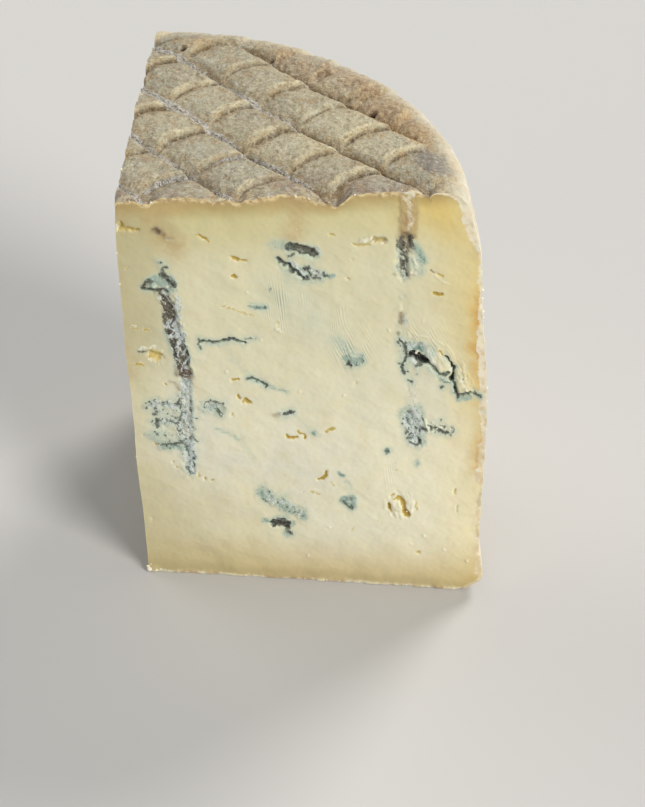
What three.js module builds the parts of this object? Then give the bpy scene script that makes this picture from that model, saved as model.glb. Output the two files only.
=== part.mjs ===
// Blue cheese wedge: about a quarter of a tall, soft-rinded wheel, standing on
// its flat base. One closed solid, in millimetres, +Z up. The front cut face
// looks along -Y, the left cut face along -X, and the rind is the arc between
// them. The origin is the middle of the bounding box's base.
import * as THREE from 'three';

// ---- wheel -----------------------------------------------------------------
const WHEEL_RADIUS = 100;        // at half height
const WHEEL_CENTRE = [2.27, -4]; // wheel axis seen from the wedge's tip: the cuts miss it a little
const CUT_ANGLE = 92;            // between the two cut faces, degrees
const TIP_HEIGHT = 135;          // height at the tip, near the wheel's middle
const DISH = 7.9;                // the top rises this much towards the rim
const TAPER_TOP = 8.6;           // the side leans in by this much up to the top
const TAPER_BOTTOM = 1.2;        // and by this much down to the base
const SHOULDER_TOP = 8.7;        // rounded top edge
const SHOULDER_BOTTOM = 6.5;     // rounded bottom edge
const BELLY = 0.45;              // height of the widest ring, as a share of the whole

// ---- imprint of the draining mat on the top --------------------------------
const SEAM_TURN = 42.3;          // seams run this many degrees clockwise of +X
const SEAM_FIRST = 5.8;          // distance of the first seam from the tip
const SEAM_PITCH = 16.65;
const SEAM_DEPTH = 2.2;
const CROSS_FIRST = -5.9;        // first cross groove, along the seams
const CROSS_PITCH = 17;
const CROSS_DRIFT = 0.143;       // cross grooves lean by this much from row to row
const CROSS_BOW = 10;            // and bow by a quarter of this inside a row
const CROSS_DEPTH = 1.2;
const PILLOW = 0.9;              // each pad between the grooves swells by this much

// ---- pierced channels and hollows on the cut faces -------------------------
// across = distance from the tip edge, z = height
const CHANNEL_DEPTH = 1.1;
const CHANNEL_RADIUS = 2.6;
const FRONT_CHANNELS = [
  [[16, 100], [19.5, 78], [21.5, 62], [24, 40]],
  [[88, 138], [89.5, 112], [91, 78], [93, 52]],
];
const LEFT_CHANNELS = [
  [[27, 137], [26, 104], [28.5, 60]],
  [[72, 112], [73.5, 78], [71, 44]],
];
const FRONT_HOLLOWS = [          // across, z, radius, depth
  [95, 74, 4.2, 1.4], [84, 28, 4.5, 1.0], [10, 75, 4.5, 0.9], [49, 117, 4.5, 1.0], [48, 22, 4.5, 0.8],
];
const LEFT_HOLLOWS = [[50, 88, 4.5, 1.2], [14, 40, 4, 0.9], [88, 96, 3.6, 0.8], [54, 24, 4, 0.8]];

// ---- fineness --------------------------------------------------------------
const N = 34;                    // steps across a cut face, and half as many steps round the rind
const M = 20;                    // steps from the top edge down to the base

const rad = (d) => d * Math.PI / 180;
const mix = (a, b, t) => a + (b - a) * t;
const smooth = (a, b, x) => { const t = Math.min(1, Math.max(0, (x - a) / (b - a))); return t * t * (3 - 2 * t); };
const frac = (x) => x - Math.floor(x);
const RIM_HEIGHT = TIP_HEIGHT + DISH;

// radius of the side at a height
function sideRadius(z) {
  const mid = BELLY * RIM_HEIGHT;
  const taper = z > mid ? TAPER_TOP * ((z - mid) / (RIM_HEIGHT - mid)) ** 2
    : TAPER_BOTTOM * ((mid - z) / mid) ** 2;
  return WHEEL_RADIUS - taper;
}
const R_TOP = sideRadius(RIM_HEIGHT) - SHOULDER_TOP;        // where the top turns into the shoulder
const R_BASE = sideRadius(SHOULDER_BOTTOM) - SHOULDER_BOTTOM;

// outline of the rind from the top edge (t = 0) to the base (t = 1), with the
// way its surface faces: radius, height, facing outward, facing up
const SHARE_TOP = 0.16, SHARE_BOTTOM = 0.11;
function rindProfile(t) {
  if (t <= SHARE_TOP) {
    const a = (t / SHARE_TOP) * Math.PI / 2;
    const z1 = RIM_HEIGHT - SHOULDER_TOP;
    return [mix(R_TOP, sideRadius(z1), Math.sin(a)), z1 + SHOULDER_TOP * Math.cos(a), Math.sin(a), Math.cos(a)];
  }
  if (t >= 1 - SHARE_BOTTOM) {
    const a = ((t - 1 + SHARE_BOTTOM) / SHARE_BOTTOM) * Math.PI / 2;
    return [R_BASE + SHOULDER_BOTTOM * Math.cos(a), SHOULDER_BOTTOM * (1 - Math.sin(a)), Math.cos(a), -Math.sin(a)];
  }
  const s = (t - SHARE_TOP) / (1 - SHARE_TOP - SHARE_BOTTOM);
  const z = mix(RIM_HEIGHT - SHOULDER_TOP, SHOULDER_BOTTOM, s);
  return [sideRadius(z), z, 1, 0];
}

// from the tip, how far a ray goes to the ring of a given radius
function reach(angle, radius) {
  const [cx, cy] = WHEEL_CENTRE;
  const b = Math.cos(angle) * cx + Math.sin(angle) * cy;
  return b + Math.sqrt(b * b - cx * cx - cy * cy + radius * radius);
}

// the mat's imprint: sharp overlapping seams one way, softer bowed grooves the
// other way, and a low pad between them
function imprint(x, y) {
  const c = Math.cos(rad(SEAM_TURN)), s = Math.sin(rad(SEAM_TURN));
  const u = x * c - y * s, v = x * s + y * c;
  const row = (v - SEAM_FIRST) / SEAM_PITCH;
  const vf = frac(row);
  const cross = u - CROSS_DRIFT * (v - 47.4) + CROSS_BOW * vf * (1 - vf);
  const cf = frac((cross - CROSS_FIRST) / CROSS_PITCH);
  const up = vf * SEAM_PITCH, down = (1 - vf) * SEAM_PITCH;
  const along = cf * CROSS_PITCH, back = (1 - cf) * CROSS_PITCH;
  const seam = -SEAM_DEPTH * Math.max(Math.exp(-((up / 3.4) ** 2)), Math.exp(-((down / 2.3) ** 2)));
  const groove = -CROSS_DEPTH * Math.max(Math.exp(-((along / 2.6) ** 2)), Math.exp(-((back / 2.2) ** 2)));
  const pad = PILLOW * (Math.sin(Math.PI * vf) * 0.6 + smooth(0.2, 0.85, cf) * 0.6 - 0.4);
  return Math.min(seam, groove) + pad;
}

// distance from a point to a run of straight pieces
function runDistance(px, pz, run) {
  let best = Infinity;
  for (let i = 0; i + 1 < run.length; i++) {
    const [ax, az] = run[i], [bx, bz] = run[i + 1];
    const dx = bx - ax, dz = bz - az;
    const t = Math.min(1, Math.max(0, ((px - ax) * dx + (pz - az) * dz) / (dx * dx + dz * dz)));
    best = Math.min(best, Math.hypot(px - ax - t * dx, pz - az - t * dz));
  }
  return best;
}
// how far a cut face is hollowed at a point
function hollow(across, z, channels, hollows) {
  let d = 0;
  for (const run of channels) d = Math.max(d, CHANNEL_DEPTH * (1 - smooth(0.3, 1, runDistance(across, z, run) / CHANNEL_RADIUS)));
  for (const [hx, hz, r, depth] of hollows) d = Math.max(d, depth * (1 - smooth(0.3, 1, Math.hypot(across - hx, z - hz) / r)));
  return d;
}

// ---- points ----------------------------------------------------------------
const ANGLE = rad(CUT_ANGLE);
const topHeight = (x, y) => {
  const r = Math.hypot(x - WHEEL_CENTRE[0], y - WHEEL_CENTRE[1]);
  return TIP_HEIGHT + DISH * Math.min(1, r / R_TOP) ** 1.5;
};
function topPoint(x, y) { return [x, y, topHeight(x, y) + imprint(x, y)]; }
function ringXY(angle, radius) { const r = reach(angle, radius); return [r * Math.cos(angle), r * Math.sin(angle)]; }
function rindPoint(angle, t) {
  const [r, z, out, up] = rindProfile(t);
  const [x, y] = ringXY(angle, r);
  const fade = t <= SHARE_TOP ? 1 - 0.85 * smooth(0.1, 1, t / SHARE_TOP) : 0.15 * (1 - smooth(SHARE_TOP, 0.45, t));
  const lift = (t < 1 - SHARE_BOTTOM ? imprint(x, y) : 0) * fade;
  const length = Math.hypot(x, y);
  const grow = (length + lift * out) / length;   // stays in the cut planes
  return [x * grow, y * grow, Math.max(0, z + lift * Math.max(0, up))];
}

const positions = [];
const index = [];
const seen = new Map();
function vertex(p) {
  const key = p.map((v) => Math.round(v * 1e4)).join(',');
  if (!seen.has(key)) { seen.set(key, positions.length / 3); positions.push(...p); }
  return seen.get(key);
}
function quad(a, b, c, d) {      // corners anticlockwise seen from outside
  if (a !== b && b !== c && a !== c) index.push(a, b, c);
  if (a !== c && c !== d && a !== d) index.push(a, c, d);
}
// a surface between four edges: e0 and e1 run the first way, f0 and f1 the second
function coons(e0, e1, f0, f1, i, j, ni, nj) {
  const s = i / ni, t = j / nj, n = e0[0].length, out = [];
  for (let k = 0; k < n; k++) {
    out.push(mix(e0[i][k], e1[i][k], t) + mix(f0[j][k], f1[j][k], s)
      - mix(mix(e0[0][k], e0[ni][k], s), mix(e1[0][k], e1[ni][k], s), t));
  }
  return out;
}

// angles of the 2N + 1 points round the rind
const angles = Array.from({ length: 2 * N + 1 }, (_, i) => ANGLE * i / (2 * N));

// top
const frontEdge = [], leftEdge = [], arcA = [], arcB = [];
for (let i = 0; i <= N; i++) {
  frontEdge.push([reach(0, R_TOP) * i / N, 0]);
  const l = reach(ANGLE, R_TOP) * i / N;
  leftEdge.push([l * Math.cos(ANGLE), l * Math.sin(ANGLE)]);
  arcA.push(ringXY(angles[i], R_TOP));
  arcB.push(ringXY(angles[2 * N - i], R_TOP));
}
const topGrid = [];
for (let i = 0; i <= N; i++) {
  topGrid.push([]);
  for (let j = 0; j <= N; j++) {
    const onRim = i === N || j === N;
    if (onRim) topGrid[i].push(vertex(rindPoint(i === N ? angles[j] : angles[2 * N - i], 0)));
    else topGrid[i].push(vertex(topPoint(...coons(frontEdge, arcB, leftEdge, arcA, i, j, N, N))));
  }
}
// split along the seams' way, but the other way near the middle of the rim, where the grid's corner is nearly straight
for (let i = 0; i < N; i++) {
  for (let j = 0; j < N; j++) {
    const q = [topGrid[i][j], topGrid[i + 1][j], topGrid[i + 1][j + 1], topGrid[i][j + 1]];
    if (i + j < 1.4 * N) q.push(q.shift());
    quad(...q);
  }
}

// rind
const rind = angles.map((a) => Array.from({ length: M + 1 }, (_, j) => vertex(rindPoint(a, j / M))));
for (let i = 0; i < 2 * N; i++) for (let j = 0; j < M; j++) quad(rind[i][j], rind[i][j + 1], rind[i + 1][j + 1], rind[i + 1][j]);

// cut faces: (distance from the tip, height) between the top edge, the rind, the base and the tip edge
function cutFace(angle, edgePoint, channels, hollows, inward, flip) {
  const dir = [Math.cos(angle), Math.sin(angle)];
  const top = [], base = [], tip = [], side = [];
  const sideAt = (j) => { const p = rindPoint(angle, j / M); return [Math.hypot(p[0], p[1]), p[2]]; };
  for (let i = 0; i <= N; i++) {
    if (i < N) { const p = topPoint(...edgePoint(i)); top.push([Math.hypot(p[0], p[1]), p[2]]); } else top.push(sideAt(0));
    base.push([sideAt(M)[0] * i / N, 0]);
  }
  for (let j = 0; j <= M; j++) { side.push(sideAt(j)); tip.push([0, mix(top[0][1], 0, j / M)]); }
  const grid = [];
  for (let i = 0; i <= N; i++) {
    grid.push([]);
    for (let j = 0; j <= M; j++) {
      const [r, z] = coons(top, base, tip, side, i, j, N, M);
      const inside = i > 0 && i < N && j > 0 && j < M;
      const d = inside ? hollow(r, z, channels, hollows) : 0;
      grid[i].push(vertex([r * dir[0] + d * inward[0], r * dir[1] + d * inward[1], z]));
    }
  }
  for (let i = 0; i < N; i++) {
    for (let j = 0; j < M; j++) {
      const q = [grid[i][j], grid[i][j + 1], grid[i + 1][j + 1], grid[i + 1][j]];
      if (flip) q.reverse();
      quad(...q);
    }
  }
  return grid;
}
const front = cutFace(0, (i) => frontEdge[i], FRONT_CHANNELS, FRONT_HOLLOWS, [0, 1], false);
const left = cutFace(ANGLE, (i) => leftEdge[i], LEFT_CHANNELS, LEFT_HOLLOWS, [Math.sin(ANGLE), -Math.cos(ANGLE)], true);

// base: one flat polygon
const loop = [];
for (let i = 0; i < N; i++) loop.push(front[i][M]);
for (let i = 0; i < 2 * N; i++) loop.push(rind[i][M]);
for (let i = N; i > 0; i--) loop.push(left[i][M]);
const outline = loop.map((v) => new THREE.Vector2(positions[3 * v], positions[3 * v + 1]));
for (const [a, b, c] of THREE.ShapeUtils.triangulateShape(outline, [])) index.push(loop[a], loop[c], loop[b]);

const geometry = new THREE.BufferGeometry();
geometry.setAttribute('position', new THREE.Float32BufferAttribute(positions, 3));
geometry.setIndex(index);
geometry.computeBoundingBox();
const { min, max } = geometry.boundingBox;
geometry.translate(-(min.x + max.x) / 2, -(min.y + max.y) / 2, -min.z);
geometry.computeVertexNormals();

const cheese = new THREE.Mesh(geometry, new THREE.MeshStandardMaterial({
  color: 0xded7b4, roughness: 0.55, metalness: 0, flatShading: true,
}));
cheese.name = 'cheese_wedge';

const group = new THREE.Group();
group.add(cheese);
export default group;
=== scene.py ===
import math
import bpy
import numpy as np
from mathutils import Matrix, Vector
from mathutils.geometry import delaunay_2d_cdt


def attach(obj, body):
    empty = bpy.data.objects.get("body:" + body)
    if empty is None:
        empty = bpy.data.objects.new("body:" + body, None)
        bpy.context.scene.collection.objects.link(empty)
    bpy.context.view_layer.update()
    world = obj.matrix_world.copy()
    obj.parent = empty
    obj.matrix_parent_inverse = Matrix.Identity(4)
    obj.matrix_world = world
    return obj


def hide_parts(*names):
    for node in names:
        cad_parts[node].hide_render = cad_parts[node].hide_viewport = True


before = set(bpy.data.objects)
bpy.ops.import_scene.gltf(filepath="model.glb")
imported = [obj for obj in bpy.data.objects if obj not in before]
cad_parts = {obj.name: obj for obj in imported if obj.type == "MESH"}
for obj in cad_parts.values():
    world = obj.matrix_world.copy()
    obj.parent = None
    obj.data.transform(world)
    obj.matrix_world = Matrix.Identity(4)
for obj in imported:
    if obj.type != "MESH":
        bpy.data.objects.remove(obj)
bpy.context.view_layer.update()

# ---------------------------------------------------------------------------
# Sizes, in millimetres, from the wedge's tip: the same wheel as the CAD solid
# ---------------------------------------------------------------------------
TIP = np.array([-49.42, -47.995, 0.0])      # the tip edge in the row's frame
R_WHEEL, CX, CY = 100.0, 2.27, -4.0
CUT = math.radians(92.0)
H_TIP, DISH = 135.0, 7.9
TAPER_TOP, TAPER_BOT, SH_TOP, SH_BOT, BELLY = 8.6, 1.2, 8.7, 6.5, 0.45
H_RIM = H_TIP + DISH
SEAM_TURN, SEAM_FIRST, SEAM_PITCH = math.radians(42.3), 5.8, 16.65
CROSS_FIRST, CROSS_PITCH, CROSS_DRIFT, CROSS_BOW = -5.9, 17.0, 0.143, 10.0

# camera, in millimetres from the tip (photo frame 645 x 807)
CAM_F = 1888.8
CAM_PITCH, CAM_AZ, CAM_ROLL = math.radians(38.375), math.radians(6.821), math.radians(-1.32)
CAM_TX, CAM_TY, CAM_D = 5.234, 7.057, 543.4
_back = np.array([math.sin(CAM_AZ) * math.cos(CAM_PITCH), -math.cos(CAM_AZ) * math.cos(CAM_PITCH), math.sin(CAM_PITCH)])
_right = np.array([math.cos(CAM_AZ), math.sin(CAM_AZ), 0.0])
_up = np.cross(_back, _right)
CAM_RIGHT = math.cos(CAM_ROLL) * _right + math.sin(CAM_ROLL) * _up
CAM_UP = -math.sin(CAM_ROLL) * _right + math.cos(CAM_ROLL) * _up
CAM_POS = np.array([50.0, 0.0, 60.0]) + CAM_D * _back + CAM_TX * CAM_RIGHT + CAM_TY * CAM_UP


def smooth(a, b, x):
    t = np.clip((x - a) / (b - a), 0.0, 1.0)
    return t * t * (3 - 2 * t)


def to_px(P):
    """Where a point of the wedge lies in the photo's frame."""
    Q = P - CAM_POS
    z = -(Q @ _back)
    return np.stack([322.5 + CAM_F * (Q @ CAM_RIGHT) / z, 403.5 - CAM_F * (Q @ CAM_UP) / z], -1)


# ---------------------------------------------------------------------------
# Noise
# ---------------------------------------------------------------------------
def _hash(ix, iy, iz, seed):
    h = (ix * 374761393 + iy * 668265263 + iz * 1274126177 + seed * 974634777) & 0xFFFFFFFF
    h = ((h ^ (h >> 13)) * 1274126177) & 0xFFFFFFFF
    h = ((h ^ (h >> 15)) * 668265263) & 0xFFFFFFFF
    return ((h ^ (h >> 16)) & 0xFFFFFF) / float(0xFFFFFF) * 2.0 - 1.0


def noise(x, y, z, scale, seed=0):
    x, y, z = np.broadcast_arrays(np.asarray(x, float) / scale, np.asarray(y, float) / scale, np.asarray(z, float) / scale)
    x = x + 0.37 * seed
    y = y + 0.61 * seed
    x0, y0, z0 = np.floor(x), np.floor(y), np.floor(z)
    fx, fy, fz = x - x0, y - y0, z - z0
    ux, uy, uz = (f * f * f * (f * (f * 6 - 15) + 10) for f in (fx, fy, fz))
    ix, iy, iz = x0.astype(np.int64), y0.astype(np.int64), z0.astype(np.int64)
    out = 0.0
    for dz in (0, 1):
        wz = uz if dz else 1 - uz
        for dy in (0, 1):
            wy = uy if dy else 1 - uy
            for dx in (0, 1):
                wx = ux if dx else 1 - ux
                out = out + _hash(ix + dx, iy + dy, iz + dz, seed) * wx * wy * wz
    return out


def fbm(x, y, z, scale, octaves=3, seed=0, gain=0.5):
    out, amp, total = 0.0, 1.0, 0.0
    for k in range(octaves):
        out = out + amp * noise(x, y, z, scale / 2 ** k, seed + 17 * k)
        total += amp
        amp *= gain
    return out / total


# ---------------------------------------------------------------------------
# The rind's outline from the middle of the top to the base
# ---------------------------------------------------------------------------
def side_radius(z):
    mid = BELLY * H_RIM
    z = np.asarray(z, float)
    return R_WHEEL - np.where(z > mid, TAPER_TOP * ((z - mid) / (H_RIM - mid)) ** 2, TAPER_BOT * ((mid - z) / mid) ** 2)


R_TOP = float(side_radius(H_RIM)) - SH_TOP
R_BASE = float(side_radius(SH_BOT)) - SH_BOT


def top_z(x, y):
    return H_TIP + DISH * np.minimum(np.hypot(x - CX, y - CY) / R_TOP, 1.0) ** 1.5


def _outline():
    """Samples of the outline past the top: arc length, radius, height, facing."""
    a = np.linspace(0, math.pi / 2, 60)
    z1 = H_RIM - SH_TOP
    r1 = float(side_radius(z1))
    rz = [np.stack([R_TOP + (r1 - R_TOP) * np.sin(a), z1 + SH_TOP * np.cos(a)], -1)]
    z = np.linspace(z1, SH_BOT, 220)[1:]
    rz.append(np.stack([side_radius(z), z], -1))
    rz.append(np.stack([R_BASE + SH_BOT * np.cos(a[1:]), SH_BOT * (1 - np.sin(a[1:]))], -1))
    rz = np.concatenate(rz)
    s = np.concatenate([[0], np.cumsum(np.hypot(*np.diff(rz, axis=0).T))])
    return s, rz


PS, PRZ = _outline()
S_END = float(PS[-1])
TAN = np.gradient(PRZ, PS, axis=0)
TAN /= np.linalg.norm(TAN, axis=1, keepdims=True)
PN = np.stack([-TAN[:, 1], TAN[:, 0]], -1)      # radius, height parts of the facing
PN[:, 0] = np.abs(PN[:, 0])


def reach(theta, r):
    b = np.cos(theta) * CX + np.sin(theta) * CY
    return b + np.sqrt(np.maximum(b * b - CX * CX - CY * CY + r * r, 0.0))


def rind_at(theta, s):
    r, z = np.interp(s, PS, PRZ[:, 0]), np.interp(s, PS, PRZ[:, 1])
    d = reach(theta, r)
    return np.stack([d * np.cos(theta), d * np.sin(theta), z], -1)


# ---------------------------------------------------------------------------
# The imprint of the draining mat: sharp overlapping seams one way, softer
# bowed grooves the other way, pale ridges in front of them
# ---------------------------------------------------------------------------
def imprint(x, y):
    wx = 0.9 * fbm(x, y, 0, 17, 2, 3) + 0.34 * fbm(x, y, 0, 3.6, 2, 4)
    wy = 0.9 * fbm(x, y, 0, 17, 2, 5) + 0.34 * fbm(x, y, 0, 3.6, 2, 6)
    c, s = math.cos(SEAM_TURN), math.sin(SEAM_TURN)
    u, v = (x + wx) * c - (y + wy) * s, (x + wx) * s + (y + wy) * c
    row = (v - SEAM_FIRST) / SEAM_PITCH
    irow = np.floor(row)
    vf = row - irow
    jit = np.array([0.6, -0.8, 0.4, 0.0, -0.9, 0.9, 0.2, -0.3])[(irow.astype(int)) % 8]
    cross = (u + jit - CROSS_DRIFT * (v - 47.4) + CROSS_BOW * vf * (1 - vf) - CROSS_FIRST) / CROSS_PITCH
    icol = np.floor(cross)
    cf = cross - icol
    up, down = vf * SEAM_PITCH, (1 - vf) * SEAM_PITCH
    along, back = cf * CROSS_PITCH, (1 - cf) * CROSS_PITCH
    ii, jj = irow.astype(np.int64), icol.astype(np.int64)
    t1, t2, t3 = _hash(ii, jj, ii * 0 + 1, 11), _hash(ii, jj, ii * 0 + 2, 12), _hash(ii, jj, ii * 0 + 3, 13)
    depth = 1.75 + 0.5 * noise(x, y, 0, 14, 8)
    # the pad below a seam stays high and drops sharply, the pad above rises slowly out of it
    seam = -depth * np.maximum(0.95 * np.exp(-up / 1.9), np.exp(-(down / 0.6) ** 2))
    cd = (1.02 + 0.3 * t1) * (0.55 + 0.45 * smooth(0.02, 0.3, vf))
    groove = -cd * np.maximum(0.62 * np.exp(-along / 1.3) + 0.38 * np.exp(-along / 4.4), 0.95 * np.exp(-(back / 0.45) ** 2))
    ridge = (0.32 + 0.14 * t2) * np.exp(-((back - 1.8) / 1.15) ** 2) * smooth(0.0, 0.25, vf) * (0.7 + 0.6 * noise(x, y, 0, 5, 9))
    pad = 0.6 * (np.sin(math.pi * vf) * 0.7 + smooth(0.03, 0.9, cf) * 0.7) + 0.22 * t3 - 0.5
    h = np.minimum(seam, groove) + 0.3 * np.maximum(seam, groove) + ridge + pad
    seam_line = np.maximum(np.exp(-(up / 0.9) ** 2), np.exp(-(down / 0.55) ** 2))
    # brown staining by seams and grooves, with painted shade on the slopes rising out of them
    dark = np.maximum(np.exp(-up / 2.2) * 0.9, np.exp(-along / 2.6) * smooth(0.0, 0.35, vf) * (0.75 + 0.25 * t1))
    # thin line along each cross groove: brown staining with painted shade in the groove
    line = np.exp(-(np.minimum(along, back) / 0.5) ** 2) * smooth(0.03, 0.2, vf)
    # pale ridges: rubbed rind, partly painted highlight on the ridge crests
    pale = np.exp(-((back - 2.0) / 1.5) ** 2) * smooth(0.05, 0.3, vf) * (0.7 + 0.4 * t2)
    return dict(h=h, seam=seam_line, dark=dark, line=line, pale=pale, tone=t3, vf=vf, cf=cf, down=down, v=v, row=irow)


# ---------------------------------------------------------------------------
# Features of the cut faces: runs of points in the photo's frame, each with a
# half-width and a strength (one unit is about 0.28 mm across the face)
# ---------------------------------------------------------------------------
SOFT = {"dark": (1.5, 0.35), "blue": (2.6, 0.5), "pale": (1.8, 0.4), "brown": (1.4, 0.4), "amber": (0.7, 0.3), "white_and_highlight": (0.8, 0.35)}


def front_features():
    F = {k: [] for k in ("dark", "blue", "pale", "brown", "amber", "white_and_highlight", "deep", "raise", "rough", "speck", "tan", "plates")}

    def add(kind, pts, r, amp, soft=None):
        soft = SOFT.get(kind, (0.55, 0.3)) if soft is None else (soft, 0)
        F[kind].append((np.array(pts, float).reshape(-1, 2), r, amp, soft[0] + soft[1] * r))

    D, B, P, N_, A, W, H, U, R, K = ((lambda k: lambda *a, **b: add(k, *a, **b))(k) for k in
                                     ("dark", "blue", "pale", "brown", "amber", "white_and_highlight", "deep", "raise", "rough", "speck"))

    def plate(pts, amp, soft, tilt):
        F["plates"].append((np.array(pts, float), amp, soft, np.array(tilt)))

    # --- left needle channel, upper part: dark crust sprinkled with pale flakes
    B([(158, 262), (164, 262)], 2.6, .5); D([(157, 261), (160, 262), (163, 263)], .9, .6)
    D([(161, 270), (163, 267), (167, 267)], 1.6, .75)
    D([(161.4, 273.9), (168, 279.7), (174, 285.5)], 2.9, .86); B([(170, 276), (175, 283)], 3, .6); K([(161, 270), (174, 285)], 4, .35)
    P([(175, 282.2)], 1.8, .8); W([(167.2, 287.2)], 2, .8); W([(160.6, 270.2)], 1, .8)
    B([(150, 283), (157, 279.5), (165, 284), (169, 288)], 5.4, .62, soft=3); P([(150, 286), (160, 285)], 3.4, .35)
    D([(143.2, 286.4), (146.5, 281.6), (151.5, 280.6)], 1.7, .85); N_([(144, 285.5), (148, 284)], 2.4, .5)
    D([(142.6, 287.4), (145.7, 289.4), (153.1, 289.3), (159.8, 290.5), (165.6, 292.3)], 1.8, 1.0)
    B([(173, 291)], 3.4, .6); P([(175, 290)], 2, .5)
    N_([(162, 294), (169, 310), (171, 326), (176, 340), (180, 356), (186, 372)], 6.2, .40, soft=2)
    D([(163, 295), (167, 304), (171, 310)], 6.2, .80, soft=1.8)
    D([(169, 309), (168.5, 316), (170, 325)], 6.4, .78, soft=1.8)
    for q, r_, a_ in (([(180, 299), (175.5, 306)], 1.5, .8), ([(182, 307), (176, 316)], 1.5, .85), ([(181, 316), (173, 327)], 1.7, .9), ([(172, 321), (167, 327)], 1.3, .8), ([(183, 325), (174, 339)], 1.8, .95), ([(185, 334), (176, 349)], 1.7, .95),
                      ([(176, 327), (170, 336)], 1.4, .85), ([(188, 345), (181, 357)], 1.5, .9), ([(180, 347), (177, 356)], 1.1, .7), ([(190, 356), (184, 367)], 1.5, .85), ([(186, 363), (181, 372)], 1.2, .7), ([(170, 300), (174, 306)], 1.0, .6)):
        P(q, r_, a_, soft=1.1)
    P([(176, 297), (179, 306), (179, 316), (175, 326)], 3.2, .46, soft=2.0)
    P([(166, 325), (175, 330), (181, 338), (183, 345)], 3.8, .6, soft=2)
    D([(170, 329), (173, 336), (177, 346), (180, 356), (183, 366), (185, 374)], 6.4, .74, soft=1.8)
    D([(167, 331), (169, 339), (173, 348), (176, 358), (179, 368)], 1.9, 1.1)
    D([(180, 333), (183.5, 341), (187, 352), (189, 363)], 1.6, 1.05)
    N_([(180.5, 372), (188, 377)], 4.6, .8); D([(180, 371), (185, 378), (189, 374)], 1.6, .85); W([(184, 368.9), (188, 372)], 1.6, .9)
    K([(168, 300), (171, 312), (171, 323), (175, 333), (178, 345), (182, 356), (185, 370)], 8.5, 1.25, soft=2)
    K([(162, 294), (167, 302)], 7, .7, soft=2)
    R([(150, 286), (163, 295), (170, 310), (171, 323), (175, 333), (178, 345), (182, 356), (186, 372)], 7.0, 1.0, soft=2.5)
    H([(163, 295), (170, 310), (171, 323), (175, 333), (178, 345), (182, 356), (186, 376)], 5.5, .8, soft=2.5)
    # --- lower part: lavender fill between dark edges
    N_([(176.3, 383.6), (179.7, 390.4)], 1.6, .7); N_([(169.4, 381), (177.1, 383.1)], .9, .5)
    P([(186, 382), (187, 398), (187, 415), (186.5, 433), (189.5, 447), (191.5, 470)], 5.6, 1.05, soft=2); W([(186, 396), (187, 412), (186, 430), (189, 440)], 3.0, .46, soft=3)
    D([(181, 396), (180, 405), (181.4, 412.8), (178.9, 421.4), (178, 430), (179, 437), (183.5, 443), (187.5, 450), (190, 460), (189.2, 472)], 1.5, .74)
    K([(180, 396), (180, 440), (190, 470)], 4, .5)
    D([(190, 402), (190.5, 412)], 1.3, .75); D([(192, 420.6)], 1.7, .7); D([(189.2, 428), (189.8, 432)], 1.6, .7)
    D([(194.3, 450), (194, 468)], 1.0, .55); D([(187, 468), (192, 473)], 2.4, .7)
    D([(147, 408.1)], 1.7, .7); P([(149, 406), (154, 406)], 3, .6); P([(156, 405), (168, 405), (176, 406)], 3.2, .62, soft=2.5); P([(158, 421), (170, 423), (178, 422)], 3.0, .55, soft=2.5); P([(160, 412), (160, 424)], 2.4, .45, soft=2.5); N_([(142.7, 406.8)], 1.8, .35)
    D([(153, 401.6), (158.2, 403.4), (163.5, 403)], 1.5, .9); D([(168, 402.5), (174.5, 405.1), (178.9, 400.8)], 1.7, .85)
    D([(156.5, 406.8), (156, 412)], 1.5, .85); D([(158.2, 418.9), (156.5, 423.2), (158, 427)], 1.8, .85)
    D([(166.8, 417.1), (177.1, 416.3)], 1.2, .55); D([(167.7, 421.4), (174, 422.4), (179, 423.2)], 1.6, .74)
    D([(155.6, 432.6), (159.1, 435.2)], 1.3, .6); D([(169.4, 434.3), (176, 436)], 1.2, .5)
    D([(161.6, 443.8), (167, 443), (172, 443.8), (180.6, 443)], 1.8, .80); D([(183.2, 440.4), (190, 439)], 1.2, .7)
    D([(192.6, 439.1), (198.6, 441.7)], .9, .75)
    B([(152, 404), (168, 405), (178, 407)], 4.5, .42, soft=4); B([(156, 422), (168, 422), (178, 421)], 5, .42, soft=4); B([(150, 436), (164, 444), (180, 443)], 5, .42, soft=4); P([(158, 410), (168, 413), (172, 424), (164, 431)], 5.5, .30, soft=4.5)
    B([(163, 446), (176, 446), (184, 449)], 3.4, .6, soft=3); K([(186, 385), (186, 470)], 8, .6, soft=4); K([(158, 405), (176, 405), (176, 443), (160, 443)], 7, .75, soft=4)
    B([(146, 434), (156, 432), (166, 434)], 3.5, .4, soft=3)
    R([(186, 384), (187, 415), (187, 440), (191, 472)], 7, .8, soft=3); R([(155, 405), (176, 405), (176, 420), (160, 424)], 5, .6, soft=3)
    R([(162, 444), (180, 443)], 4, .6, soft=2)
    H([(186, 384), (187, 415), (187, 440), (191, 468)], 4.5, .55, soft=2.5); U([(184.9, 432.6)], 2.6, .5); U([(190, 443), (192, 455)], 1.8, .35)
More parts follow.
